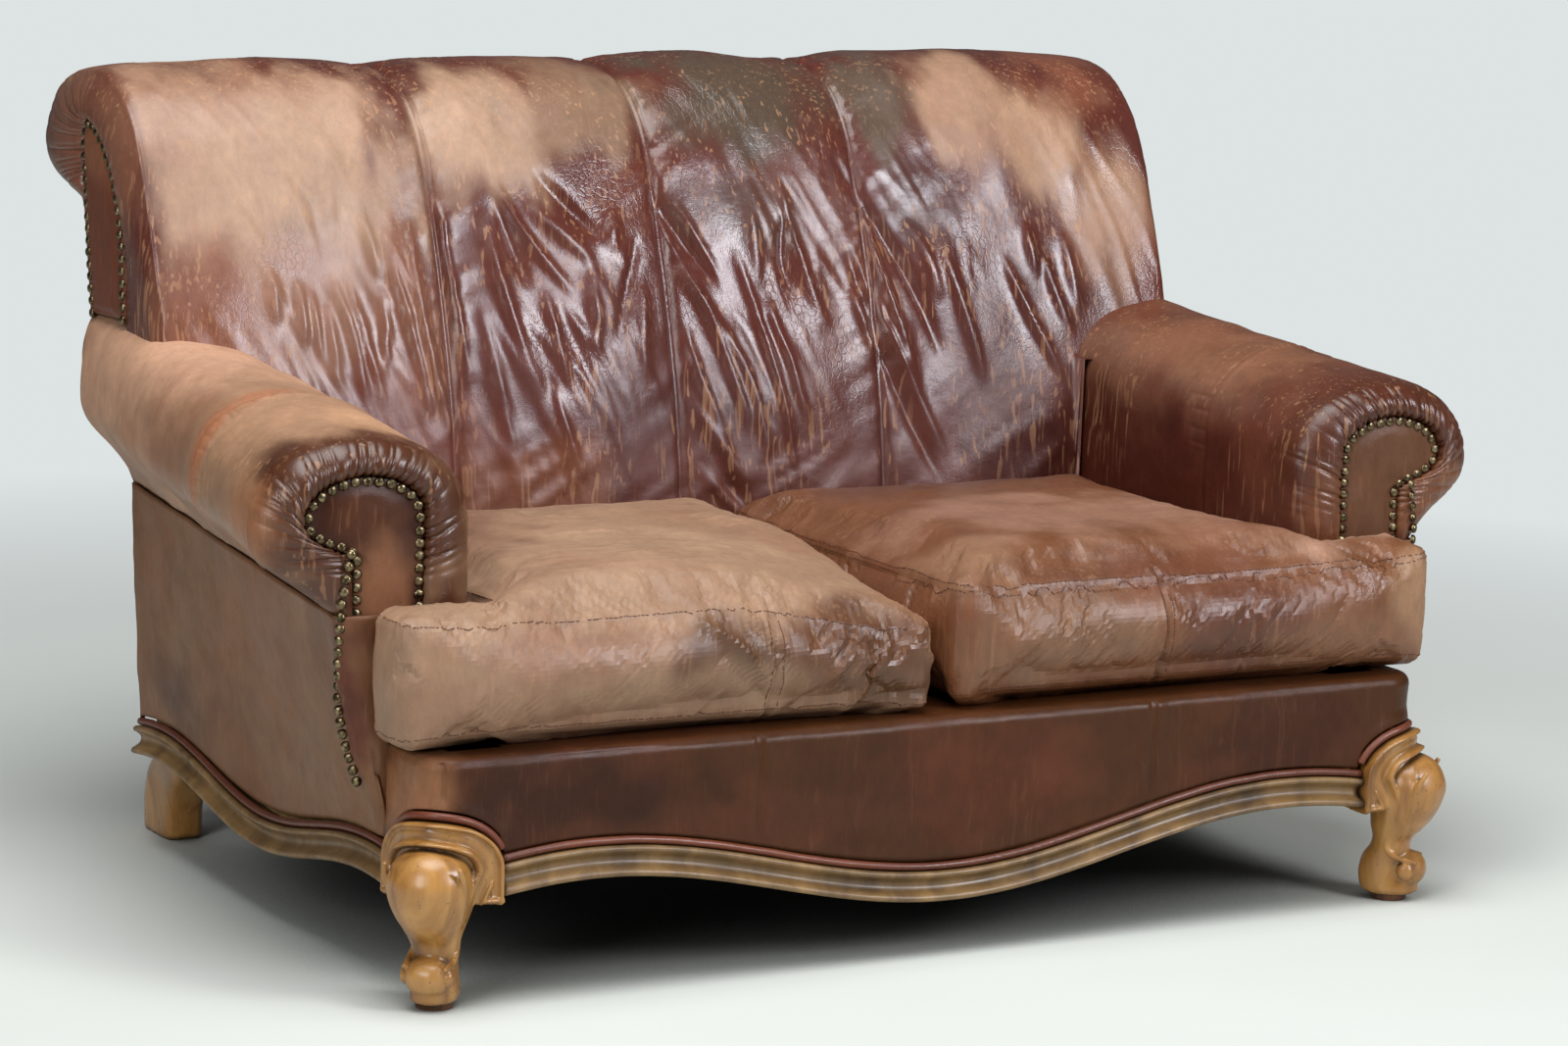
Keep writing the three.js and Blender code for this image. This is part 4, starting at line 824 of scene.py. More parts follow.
normal /= np.linalg.norm(normal, axis=1, keepdims=True)
arch_reach = SHOULDER_REACH * np.cos(angle) + normal[:, 0] * arch_out
arch_z = ARCH_SPRING + (ARCH_TOP - ARCH_SPRING) * np.sin(angle) + normal[:, 1] * arch_out
ax, ay = corner_plan(arch_reach, 1.0)
arch_path = np.stack([ax, ay, arch_z], axis=1)
for side, turn in SIDES:
    obj = piece(
        "side_welt_" + side, *turn(tube(side_path, 4.6, 14)), PIPING_LEATHER, "piping",
        ["side_piping_" + side],
    )
    paint(obj, "#5b2f20", [])
    obj = piece(
        "shoulder_welt_" + side, *turn(tube(arch_path, 4.6, 14)), PIPING_LEATHER, "piping",
        ["leg_piping_" + side],
    )
    paint(obj, "#6b3826", [])


# Arms. The outline of one slice, from the foot of the inner face over the roll to the foot of the neck.
def depth_share(y):
    return (np.asarray(y, float) - ARM_FRONT) / (ARM_BACK - ARM_FRONT)


def panel_out(z, lip_x, lip_z):
    return lerp(LEATHER_X, lip_x, (z - PANEL_FOOT_Z) / (lip_z - PANEL_FOOT_Z))


def bezier(a, b, c, d, count):
    a, b, c, d = (np.array(p) for p in (a, b, c, d))
    t = np.linspace(0, 1, count)[:, None]
    return (1 - t) ** 3 * a + 3 * (1 - t) ** 2 * t * b + 3 * (1 - t) * t**2 * c + t**3 * d


def arm_outline(share, count):
    """Evenly spaced (x, z) round the left arm at a depth share, 0 at the front."""
    wide = ROLL_WIDTH - ROLL_TAPER * share
    spring = ROLL_SPRING + ARM_RISE * share
    lip_x, lip_z = LIP_X - LIP_TAPER * share, ROLL_LIP + LIP_RISE * share
    inner = ARM_INNER
    outer = inner + wide
    a = np.linspace(0, np.pi, 60)
    high = ARM_TOP - ROLL_SPRING
    foot = [[-inner, ARM_BOTTOM]]
    power = 2 / (2 + ROLL_SQUARE * share)
    across = np.sign(np.cos(a)) * np.abs(np.cos(a)) ** power
    up = np.maximum(np.sin(a), 0) ** power
    arch = np.stack([
        -inner - wide / 2 * (1 - across), spring + high * up - ROLL_TILT * share * across * up,
    ], axis=1)
    under = bezier(
        (-outer, spring), (-outer - 2, spring - 42), (-outer + 40, spring - 50), (-lip_x, lip_z), 30,
    )
    neck = [[-(panel_out(z, lip_x, lip_z) - OUTSIDE_PANEL - 2.5), z] for z in (lip_z - 1, 350, ARM_BOTTOM)]
    line = along(np.vstack([foot, arch, under, neck]), 900)
    return along_by(line, count, 1 + 2.6 * smooth(line[:, 1], 440, 500))


def nail_outline(count, even=False):
    a = np.linspace(0, np.pi, 60)
    inner = HEAD_X - HEAD_HALF_WIDTH
    outer = HEAD_X + HEAD_HALF_WIDTH
    foot = [[-inner, PANEL_FOOT]]
    arch = np.stack([-HEAD_X + HEAD_HALF_WIDTH * np.cos(a), HEAD_Z + HEAD_HALF_HEIGHT * np.sin(a)], axis=1)
    under = bezier(
        (-outer, HEAD_Z), (-outer, HEAD_Z - 30), (-outer + 33, HEAD_Z - 30), (-outer + 60, HEAD_Z - 44), 20,
    )
    neck = [[-(panel_out(z, LIP_X, ROLL_LIP) - 18), z] for z in (410, PANEL_FOOT)]
    line = along(np.vstack([foot, arch, under[1:], neck]), 900)
    return along(line, count) if even else along_by(line, count, 1 + 2.6 * smooth(line[:, 1], 440, 490))


ROUND = 320
ARM_SEAM_Y = -112


def arm_part():
    """A scroll arm: gathered over its front bulge, seamed across the middle, slack on top."""
    count = ROUND
    sample = arm_outline(0, count)
    steps = running_length(sample)
    nail_line = nail_outline(count)
    bulge = [
        (0, 1.0), (-6, 0.99), (-11, 0.955), (-14.5, 0.9), (-16.5, 0.82), (-17, 0.73), (-16.5, 0.63),
        (-15, 0.53), (-12.5, 0.43), (-9, 0.33), (-4.5, 0.23), (1, 0.14), (7, 0.07), (14, 0.025), (22, 0.0),
    ]
    rings = []
    for ahead, share in bulge:
        across = lerp(sample, nail_line, share)
        hold = smooth(sample[:, 1], 400, 470)
        rings.append(facing_front(across, ARM_FRONT + lerp(max(ahead, -9), ahead, hold)))
    depth = stations(ARM_FRONT + 27, ARM_BACK, 118,
                     [(ARM_FRONT, 60, 1.4), (ARM_SEAM_Y, 30, 1.6), (ARM_SEAM_Y + 90, 40, 0.8)])
    for y in depth:
        rings.append(facing_front(arm_outline(depth_share(y), count), y))
    body = np.stack(rings)
    y = body[..., 1]
    normal = outward(body)
    if normal[len(rings) // 2, count // 2, 2] < 0:
        normal = -normal
    middle = count // 2
    away = running_length(body[:, middle])
    on_roll = smooth(body[..., 2], 445, 500)
    top = smooth(body[..., 2], 470, 560)
    # The seam crosses the roll, a little further back on the outer side
    seam = ARM_SEAM_Y + 60 * (
        np.clip((-body[..., 0] - ARM_INNER) / ROLL_WIDTH, 0, 1) - 0.4
    ) + 5 * noise(body, 90, 4)
    from_seam = y - seam
    lean = body.copy()
    lean[..., 1] = y + 0.5 * body[..., 0]
    settled = smooth(away, 25, 90)[:, None]
    offset = -1.5 * settled + settled * top * 3.0 * noise(lean, (130, 70, 130), 21, 2)
    crease = ridges(lean, (100, 36, 100), 22, 2) * smooth(noise(body, 130, 23), -0.1, 0.5)
    offset = offset - settled * top * 2.2 * crease
    offset = offset + settled * 1.6 * noise(body, 60, 24, 3) * (1 - top)
    offset = offset - gathers(steps, away, 25, 11.5, 46, 6.0) * on_roll
    offset = offset - 3.0 * bell(from_seam - 2, 2.6) + 1.8 * bell(from_seam + 5, 5)
    for way, seed in ((-1, 31), (1, 32)):
        beside = np.maximum(way * from_seam[:, middle], 0)
        offset = offset - gathers(steps, beside, seed, 16, 16, 1.7) * (way * from_seam > 1) * top
    body += normal * offset[..., None]
    body[..., 1] = np.minimum(body[..., 1], rear_y(body[..., 2]) - OUTSIDE_BACK - 0.3)
    return body.reshape(-1, 3), [tuple(f) for f in grid_faces(*body.shape[:2], flip=True)]


arm_points, arm_faces = arm_part()
arm_patches = [
    ((-690, 250, 620), (190, 350, 150), "#b98f74", 0.97), ((-690, -190, 645), (170, 120, 80), "#a07a5e", 0.9),
    ((-740, 60, 540), (60, 300, 90), "#8f6245", 0.8), ((-700, -350, 560), (215, 100, 160), "#472413", 0.97),
    ((-840, -290, 520), (50, 90, 100), "#94603f", 0.7), ((-750, -88, 570), (140, 24, 130), "#9c5a38", 0.6),
    ((-560, -60, 400), (30, 420, 160), "#4f2c1e", 0.95), ((-640, -240, 640), (70, 80, 60), "#b98d6a", 0.6),
    ((-740, -120, 500), (90, 170, 50), "#8a6248", 0.6),
]
right_patches = [
    ((-600, 80, 600), (70, 420, 70), "#6f4a38", 0.8), ((-650, -60, 640), (130, 230, 60), "#80553d", 0.8),
    ((-700, -350, 560), (210, 90, 150), "#4a2517", 0.95), ((-560, 0, 420), (40, 480, 170), "#451b12", 0.95),
    ((-760, 100, 620), (110, 300, 80), "#6d4330", 0.7), ((-700, -345, 480), (160, 40, 60), "#8a5637", 0.6),
]
made = piece("padded_arm_left", arm_points, arm_faces, ARM_LEATHER, "arm_leather", ["arm_left"])
paint(made, "#8f6c52", arm_patches, 3)
flipped_points, flipped_faces = mirrored((arm_points, arm_faces))
made = piece("padded_arm_right", flipped_points, flipped_faces, ARM_LEATHER, "arm_leather", ["arm_right"])
paint(made, "#5c3122", [((-c[0], c[1], c[2]), r, k, s) for c, r, k, s in right_patches], 9)


# Upholstery nails: low domes with a slightly uneven rim
def nail(centre, normal, radius=6.1, height=3.6, seed=0):
    rng = np.random.default_rng(seed)
    normal = np.asarray(normal, float) / np.linalg.norm(normal)
    side = np.cross(normal, [0.13, 0.2, 0.97])
    side /= np.linalg.norm(side)
    other = np.cross(normal, side)
    centre = np.asarray(centre, float) + rng.uniform(-0.5, 0.5, 3)
    tilt = rng.uniform(-0.12, 0.12, 2)
    angle = np.linspace(0, 2 * np.pi, 12, endpoint=False)
    rings = []
    for r, h in ((1.0, -0.6), (1.03, 0.05), (0.93, 0.45), (0.72, 0.8), (0.4, 0.96)):
        ring = radius * r * (np.cos(angle)[:, None] * side + np.sin(angle)[:, None] * other)
        lift = height * h + radius * r * (tilt[0] * np.cos(angle) + tilt[1] * np.sin(angle)) * 0.5
        rings.append(centre + ring + lift[:, None] * normal)
    points = np.vstack([*rings, centre + height * normal])
    faces = [tuple(f) for f in grid_faces(5, 12, wrap=True)]
    faces += [(48 + i, 48 + (i + 1) % 12, 60) for i in range(12)]
    return points, faces


NAIL_RUN = np.array([
    (-723, -357, 503), (-733, -354, 443), (-731, -347, 410), (-728, -338, 377), (-724, -329, 336),
    (-719, -325, 304), (-711, -326, 270), (-701, -331, 237),
], float)


def puffed_plate(outline, middle, rim, face, axis, count, puff, bumps, seed):
    """A padded plate that faces down an axis: a rim of (share inwards, place), then an uneven middle."""
    def ring(inward, place):
        return np.insert(lerp(outline, middle, inward), axis, place, axis=1)

    rings = [ring(inward, place) for inward, place in rim]
    for inward in np.linspace(0.2, 1, count):
        soft = ring(inward, face)
        height, size = bumps
        soft[:, axis] -= puff * smooth(np.array(inward), 0.1, 0.6) + height * noise(soft, size, seed, 2)
        rings.append(soft)
    points = np.stack(rings)
    return points.reshape(-1, 3), [tuple(f) for f in grid_faces(*points.shape[:2], wrap=True)]


def column_middle(outline):
    """Middle x of an outline at each height."""
    z = np.linspace(outline[:, 1].min(), outline[:, 1].max(), 60)
    tips = []
    for height in z:
        near = outline[np.abs(outline[:, 1] - height) < 14]
        tips.append((near[:, 0].min() + near[:, 0].max()) / 2)
    return z, np.array(tips)


# Front panels of the arms, with nails round their edge
def moved_in(outline, inward, middle):
    """An open outline moved sideways by inward, to the side where middle is."""
    one = outline_grown(outline, inward)
    other = outline_grown(outline, -inward)
    nearer = np.linalg.norm(one - middle, axis=1).mean() < np.linalg.norm(other - middle, axis=1).mean()
    return one if nearer else other


def outline_grown(outline, out):
    """An open outline moved sideways, inwards for a negative amount."""
    p = np.asarray(outline, float)
    tangent = np.gradient(p, axis=0)
    tangent /= np.maximum(np.linalg.norm(tangent, axis=1, keepdims=True), 1e-9)
    return p + out * np.stack([-tangent[:, 1], tangent[:, 0]], axis=1)


panel_line = nail_outline(220, even=True)
panel_closed = np.vstack([panel_line, along([panel_line[-1], panel_line[0]], 20)[1:-1]])
panel_middle = np.stack([
    np.interp(panel_closed[:, 1], *column_middle(panel_closed)), panel_closed[:, 1],
], axis=1)
panel_middle[:, 1] = np.clip(panel_middle[:, 1], panel_closed[:, 1].min() + 25, panel_closed[:, 1].max() - 40)
PANEL_FACE = ARM_FRONT - 4.5
panel_rim = ((0, ARM_FRONT), (0, PANEL_FACE + 1), (0.03, PANEL_FACE - 0.5), (0.12, PANEL_FACE - 1.2))
panel_part = puffed_plate(panel_closed, panel_middle, panel_rim, PANEL_FACE, 1, 16, 4, (1.3, 45), 41)
nail_path = moved_in(along(panel_line, 400), 5.0, (-HEAD_X + 20, HEAD_Z - 60))
nail_places = along(nail_path, pitch=NAIL_PITCH)
nails = [nail([x, ARM_FRONT - 5.5, z], [0, -1, 0], seed=k) for k, (x, z) in enumerate(nail_places)]
edge_run = along(spline(NAIL_RUN, 8), pitch=NAIL_PITCH)
nails += [nail(p, [-0.7, -0.7, 0], seed=90 + k) for k, p in enumerate(edge_run)]
nail_part = merged(nails)
panel_patches = [
    ((-700, -340, 545), (50, 60, 45), "#54301c", 0.6), ((-680, -350, 455), (45, 60, 70), "#7f553c", 0.95),
]
for side, turn in SIDES:
    plate = piece(
        "arm_front_panel_skin_" + side, *turn(panel_part), PANEL_LEATHER, "panel_leather",
        ["arm_front_panel_" + side],
    )
    shade = "#37190e" if side == "left" else "#62402c"
    paint(plate, shade, panel_patches if side == "left" else [], 5)
    piece("arm_nails_" + side, *turn(nail_part), NAIL_METAL, "panel_leather")


# The back: a dense sheet over its profile, four stuffed channels between double seams
FRONT_LINE = [[150, 262], [156, 340], [163, 430], [178, 545], [206, 660], [242, 770], [284, 870]]
ROLL_LINE = [
    [318, 921], [360, 954], [412, 969], [464, 971], [520, 963], [570, 941], [604, 908], [618, 876],
    [606, 852], [572, 834], [520, 822], [467, 815],
]
FACING_FRONT = [[313, 262], [313, 340], [313, 430], [313, 560], [315, 680], [322, 770], [342, 838]]
FACING_ROLL = [
    [362, 868], [382, 888], [404, 903], [424, 911], [440, 914], [449, 909], [455, 900], [458, 886],
    [458, 872], [456, 856], [453, 840], [449, 815],
]
FACING_REAR = [[447, 800], [430, 680], [405, 470], [385, 262]]
rear_line = [[rear_y(z) - OUTSIDE_BACK - 0.3, z] for z in (806, 680, 470, 262)]
ROW_STEPS = 14
profile = spline(FRONT_LINE + ROLL_LINE + rear_line, ROW_STEPS)
facing = spline(FACING_FRONT + FACING_ROLL + FACING_REAR, ROW_STEPS)
row_index = np.arange(len(profile)) / ROW_STEPS
keep = (row_index < 18.01) | (np.arange(len(profile)) % ROW_STEPS == 0)
profile, facing, row_index = profile[keep], facing[keep], row_index[keep]
profile_normal = np.gradient(profile, axis=0)
profile_normal = np.stack([-profile_normal[:, 1], profile_normal[:, 0]], axis=1)
profile_normal /= np.linalg.norm(profile_normal, axis=1, keepdims=True)
if profile_normal[10, 0] > 0:
    profile_normal *= -1
profile_reach = running_length(profile)

# Slack folds of the back: height (below zero is a hollow), width, upper end (x, z), lower end, bow to the
# right. They follow the photograph, set in steps of 5 mm.
BACK_FOLDS = [
    (4, 7, (-575, 740), (-575, 680), 0), (5, 8, (-540, 730), (-540, 655), 0),
    (4, 4, (-525, 720), (-520, 635), 0), (4, 8, (-505, 705), (-500, 600), 0),
    (4.5, 5, (-495, 735), (-465, 580), 5), (4.5, 4, (-475, 735), (-440, 575), 0),
    (4, 4, (-445, 805), (-430, 725), 0), (3.5, 3.5, (-430, 715), (-440, 615), 5),
    (5.5, 4, (-420, 785), (-375, 555), 0), (5.5, 6, (-380, 800), (-345, 530), -15),
    (4, 4, (-415, 790), (-385, 700), 0), (4, 7, (-335, 830), (-320, 595), -5),
    (5.5, 9, (-280, 810), (-225, 575), -10), (5.5, 4, (-260, 850), (-165, 700), -15),
    (5, 8, (-220, 810), (-135, 740), 0), (-6, 7, (-205, 850), (-120, 765), 0),
    (-4.5, 7, (-260, 820), (-230, 710), 0), (4, 9, (-300, 700), (-270, 505), 0),
    (4, 10, (-210, 710), (-190, 585), 0), (4.5, 8, (-145, 730), (-150, 625), 5),
    (-4.5, 5, (-65, 775), (-120, 635), 0), (3, 8, (-95, 805), (-110, 750), 0),
    (3.5, 8, (-65, 720), (-80, 585), -5), (4, 7, (-210, 595), (-175, 480), -5),
    (-6.5, 7, (-40, 830), (50, 695), -5), (4.5, 5, (-10, 815), (50, 690), 0),
    (5.5, 5, (-30, 775), (65, 515), 10), (5, 5, (-30, 740), (85, 485), 30),
    (5.5, 5, (65, 755), (130, 460), 5), (4, 5, (100, 695), (150, 515), 5),
    (5.5, 5, (145, 840), (195, 640), -10), (-5, 8, (155, 800), (150, 680), -15),
    (4, 18, (100, 830), (95, 695), 0), (4.5, 6, (-15, 670), (35, 510), -10),
    (4.5, 8, (-15, 560), (65, 450), 0), (5, 6, (-10, 480), (65, 405), 0), (-5, 6, (15, 480), (80, 405), 0),
    (-7, 7, (230, 865), (360, 600), 15), (6, 7, (255, 825), (325, 565), -5),
    (4.5, 5, (235, 765), (360, 470), -5), (-6, 6, (235, 760), (355, 430), -15),
    (4.5, 6, (235, 695), (260, 605), 0), (4, 12, (325, 780), (360, 675), 10),
    (5.5, 6, (370, 760), (420, 565), 0), (5.5, 5, (465, 730), (540, 570), -5),
    (4.5, 8, (505, 770), (515, 700), 0), (4.5, 5, (530, 730), (560, 625), -5),
    (4, 10, (565, 760), (575, 650), 0),
]


def bowed(upper, lower, bow):
    """Points from one end of a fold to the other, bowed to the right by bow in the middle."""
    t = np.linspace(0, 1, 13)[:, None]
    return lerp(np.array(upper, float), np.array(lower, float), t) + 4 * bow * t * (1 - t) * np.array([1, 0])


def fold_heights(flat, folds, lay=None):
    """Sum of narrow folds at flat points. lay, where given, puts a fold's points (x, z) into flat's plane."""
    lift = np.zeros(flat.shape[:-1])
    for height, width, upper, lower, bow in folds:
        line = bowed(upper, lower, bow)
        line = line if lay is None else lay(line)
        place = running_length(line)
        gap = np.full(lift.shape, 1e6)
        run = np.zeros(lift.shape)
        for k in range(len(line) - 1):
            way = line[k + 1] - line[k]
            t = np.clip(((flat - line[k]) @ way) / (way @ way), 0, 1)
            off = np.linalg.norm(flat - line[k] - t[..., None] * way, axis=-1)
            run = np.where(off < gap, (place[k] + t * (place[k + 1] - place[k])) / place[-1], run)
            gap = np.minimum(gap, off)
        ends = np.sqrt(np.clip(np.sin(np.pi * lerp(0.06, 0.94, run)), 0, 1))
        ends = ends * (1 - np.exp(-8 * np.minimum(run, 1 - run)))
        lift += height * ends * np.exp(-(np.sqrt(gap**2 + 4) - 2) / (0.8 * width))
    return lift


def laid_on_back(line):
    """Points (x, z) on the back's front as (x, reach along the profile)."""
    front_rows = 12 * ROW_STEPS
    rise = np.maximum.accumulate(profile[:front_rows, 1] + np.arange(front_rows) * 1e-4)
    return np.stack([line[:, 0], np.interp(line[:, 1], rise, profile_reach[:front_rows])], axis=1)


def back_part():
    pitch = 4.6
    edges = [-BACK_HALF_WIDTH + 6, *BACK_SEAMS, BACK_HALF_WIDTH - 6]
    x, share, edge_gap = [], [], []
    for left, right in zip(edges[:-1], edges[1:]):
        count = int((right - left) / pitch)
        t = np.linspace(0, 1, count, endpoint=False)
        t = t - 0.028 * np.sin(4 * np.pi * t) * 0.5
        x += list(lerp(left, right, t))
        share += list(t)
        edge_gap += list(np.minimum(t, 1 - t) * (right - left))
    x, share, edge_gap = np.array(x + [edges[-1]]), np.array(share + [1.0]), np.array(edge_gap + [0.0])
    swell = np.sqrt(np.clip(np.sin(np.pi * share), 0, 1))
    row_on = smooth(row_index, 1.2, 2.4) * (1 - smooth(row_index, 14.6, 16.2))
    points = np.zeros((len(profile), len(x), 3))
    points[..., 0] = x[None, :]
    points[..., 1] = profile[:, :1]
    points[..., 2] = profile[:, 1:]
    flat = points.copy()
    flat[..., 1] = profile_reach[:, None]
    flat[..., 2] = 0
    push = FLUTE * swell[None, :] * row_on[:, None]
    inner_seam = np.minimum.reduce([np.abs(x - s) for s in BACK_SEAMS])
    # Long slack folds that lean from upper left to lower right
    lean = flat.copy()
    lean[..., 0] = flat[..., 0] + 0.42 * flat[..., 1] + 22 * noise(flat, 160, 50)
    lean[..., 1] = flat[..., 1] - 0.2 * flat[..., 0]
    room = smooth(inner_seam, 6, 60)[None, :] * row_on[:, None]
    tall = smooth(flat[..., 1], 130, 260) * (1 - 0.7 * smooth(flat[..., 1], 560, 700))
    fold = ridges(lean, (44, 260, 60), 51, 2) ** 1.5 * smooth(noise(flat, (130, 170, 60), 52), -0.35, 0.25)
    fine = ridges(lean, (21, 120, 60), 53, 2) ** 1.5 * smooth(noise(flat, (100, 120, 60), 54), -0.1, 0.4)
    push += room * tall * (2.6 * (fold - 0.35) + 2.2 * (fine - 0.3))
    slack = fold_heights(flat[..., :2], BACK_FOLDS, laid_on_back)
    push += 1.7 * slack * row_on[:, None] * smooth(inner_seam, 1, 9)[None, :]
    push += 4.0 * noise(flat, (120, 150, 60), 55, 2) * room
    # Gathers that run out of the seams
    for number, seam in enumerate(BACK_SEAMS):
        side = np.sign(x - seam)
        for way in (-1, 1):
            slope = flat[..., 1] - way * 0.55 * np.abs(flat[..., 0] - seam)
            wave = noise(np.stack([
                slope, np.full_like(slope, 9.0 * number + way), np.zeros_like(slope),
            ], axis=-1), 17, 60 + number, 2)
            fade = np.exp(-np.abs(x - seam) / 34) * smooth(np.abs(x - seam), 2, 12) * (side == way)
            push += 3.4 * wave * fade[None, :] * row_on[:, None]
        groove = bell(x - seam, 5.5)
        push -= 4.5 * groove[None, :] * row_on[:, None]
    # Bunched leather above the cushions
    low = (1 - smooth(flat[..., 1], 190, 330)) * row_on[:, None]
    slant = flat.copy()
    slant[..., 1] = flat[..., 1] - 0.5 * flat[..., 0]
    push += low * 4.0 * (ridges(slant, (150, 30, 60), 58, 2) - 0.35) * smooth(noise(flat, 120, 59), -0.3, 0.4)
    push = np.maximum(push, -9)
    points[..., 1] += push * profile_normal[:, :1]
    points[..., 2] += push * profile_normal[:, 1:]
    # Gathered ends down to the nail line
    end_curve = [
        (0, 1.0), (5, 0.985), (9.5, 0.95), (13, 0.89), (15, 0.81), (15.5, 0.72), (15, 0.62), (13.5, 0.52),
        (11, 0.42), (8, 0.32), (4, 0.22), (0, 0.14), (-3, 0.07), (-5, 0.02),
    ]
    on_roll = smooth(row_index, 4.2, 6.2) * (1 - smooth(row_index, 17.0, 18.0))
    ends = []
    for side in (-1, 1):
        rings = []
        for out, share_in in end_curve:
            across = lerp(profile, facing, share_in)
            out = lerp(min(out, 4), out, on_roll)
            rings.append(np.stack([side * (BACK_HALF_WIDTH + out), across[:, 0], across[:, 1]], axis=1))
        ends.append(np.stack(rings, axis=1))
    whole = np.concatenate([ends[0], points, ends[1][:, ::-1]], axis=1)
    normal = outward(whole)
    if normal[60, whole.shape[1] // 2, 1] > 0:
        normal = -normal
    line = whole[8 * ROW_STEPS]
    across = running_length(line)
    for seed, away in ((71, across), (72, across[-1] - across)):
        pinch = gathers(profile_reach, away, seed, 13, 44, 5.5).T * on_roll[:, None]
        whole -= normal * pinch[..., None]
    over_arm = np.abs(whole[..., 0]) > ARM_INNER - 3
    whole[..., 2] = np.where(over_arm, np.maximum(whole[..., 2], 600), whole[..., 2])
    return whole


back_points = back_part()
back_faces = grid_faces(*back_points.shape[:2], flip=True)
back = piece("channel_back", back_points, back_faces, BACK_LEATHER, "back_leather", ["back"])
paint(back, "#542820", [
    ((-560, 250, 860), (230, 200, 170), "#a3826a", 0.95), ((-640, 420, 930), (160, 200, 90), "#97735c", 0.9),
    ((-560, 190, 700), (190, 130, 120), "#8a6350", 0.8), ((-640, 200, 640), (90, 130, 160), "#73422e", 0.8),
    ((-440, 170, 520), (150, 90, 130), "#6b3526", 0.8), ((-400, 190, 690), (90, 130, 170), "#7e5140", 0.6),
    ((-270, 300, 910), (110, 160, 100), "#a4836a", 0.9), ((-120, 330, 930), (110, 160, 80), "#866a54", 0.85),
    ((-230, 160, 470), (130, 60, 70), "#7e4a30", 0.65), ((-180, 200, 640), (140, 110, 90), "#5f3630", 0.7),
    ((120, 350, 950), (165, 190, 110), "#4d3f33", 0.97), ((80, 260, 800), (120, 120, 60), "#4c3631", 0.8),
    ((330, 330, 930), (70, 190, 90), "#594a3e", 0.9), ((350, 260, 800), (80, 120, 80), "#4b2f2c", 0.8),
    ((460, 330, 930), (110, 190, 80), "#9c7a62", 0.9), ((560, 300, 870), (110, 150, 90), "#a88469", 0.9),
    ((650, 240, 770), (80, 150, 110), "#a07a60", 0.85), ((640, 420, 940), (90, 160, 60), "#7c4a35", 0.7),
    ((700, 250, 680), (60, 190, 120), "#5e2a1c", 0.85), ((480, 190, 640), (200, 110, 110), "#4b2520", 0.7),
    ((470, 170, 500), (130, 90, 90), "#43180f", 0.85), ((120, 160, 440), (300, 80, 110), "#5b2c20", 0.7),
    ((-733, 430, 880), (30, 240, 160), "#6c4130", 0.85), ((733, 430, 880), (30, 240, 160), "#5e3626", 0.85),
    ((-20, 180, 560), (170, 90, 70), "#4a241f", 0.6),
], 11, (40, 70, 190), 600)

# Facings on the ends of the back
FACING_BOTTOM = 676
FACING_FACE = -(BACK_HALF_WIDTH + 6.3)
facing_line = spline(FACING_FRONT + FACING_ROLL + FACING_REAR[:1], 12)
facing_line = facing_line[facing_line[:, 1] > FACING_BOTTOM + 2]
facing_heel = [rear_y(FACING_BOTTOM) - 11, FACING_BOTTOM]
facing_rear = along([facing_line[-1], facing_heel], 24)[1:]
facing_closed = np.vstack([facing_line, facing_rear, along([facing_heel, facing_line[0]], 22)[1:-1]])
centre_y = np.interp(facing_closed[:, 1], [FACING_BOTTOM, 800, 860, 914], [376, 385, 408, 428])
facing_middle = np.stack([centre_y, np.clip(facing_closed[:, 1], 700, 880)], axis=1)
FACING_RISE = ((0, 0), (0, 4), (0.04, 5.4), (0.12, 6))
facing_rim = [(inward, -(BACK_HALF_WIDTH + 0.3 + lift)) for inward, lift in FACING_RISE]
facing_part = puffed_plate(facing_closed, facing_middle, facing_rim, FACING_FACE, 0, 12, 3.2, (1.0, 40), 43)
around = along(np.vstack([facing_line, facing_rear]), 300)
step_in = moved_in(around, 6, (390, 800))
facing_nails = merged([
    nail([-(BACK_HALF_WIDTH + 6.0), y, z], [-1, 0, 0], seed=200 + k)
    for k, (y, z) in enumerate(along(step_in, pitch=NAIL_PITCH))
])
for side, turn in SIDES:
    plate = piece(
        "back_facing_skin_" + side, *turn(facing_part), PANEL_LEATHER, "panel_leather",
        ["back_facing_" + side],
    )
    paint(plate, "#643625", [((-730, 400, 880), (60, 80, 60), "#84543b", 0.7)], 6)
    piece("facing_nails_" + side, *turn(facing_nails), NAIL_METAL, "panel_leather")


# Stitches: short rounded threads laid on a made piece along given lines
def stitched(name, obj, lines, slot, pitch=4.6, length=3.0, radius=0.5):
    tree = BVHTree.FromPolygons([v.co for v in obj.data.vertices], [p.vertices for p in obj.data.polygons])
    parts = []
    for line in lines:
        line = np.asarray(line, float)
        reach = running_length(line)
        for at in np.arange(pitch, reach[-1] - pitch, pitch):
            ends = []
            for where in (at, at + length / 2, at + length):
                point = picked(line, reach, [where])[0]
                hit, normal = tree.find_nearest(Vector(to_row(point)))[:2]
                spot = np.array(hit) * 1000 - [0, SHIFT_Y, 0]
                lift = 0.55 if where == at + length / 2 else 0.0
                ends.append(spot + lift * np.array(normal))
            if np.linalg.norm(ends[2] - ends[0]) > length / 2:
                parts.append(tube(np.array(ends), radius, 4))
    return piece(name, *merged(parts), THREAD, slot)


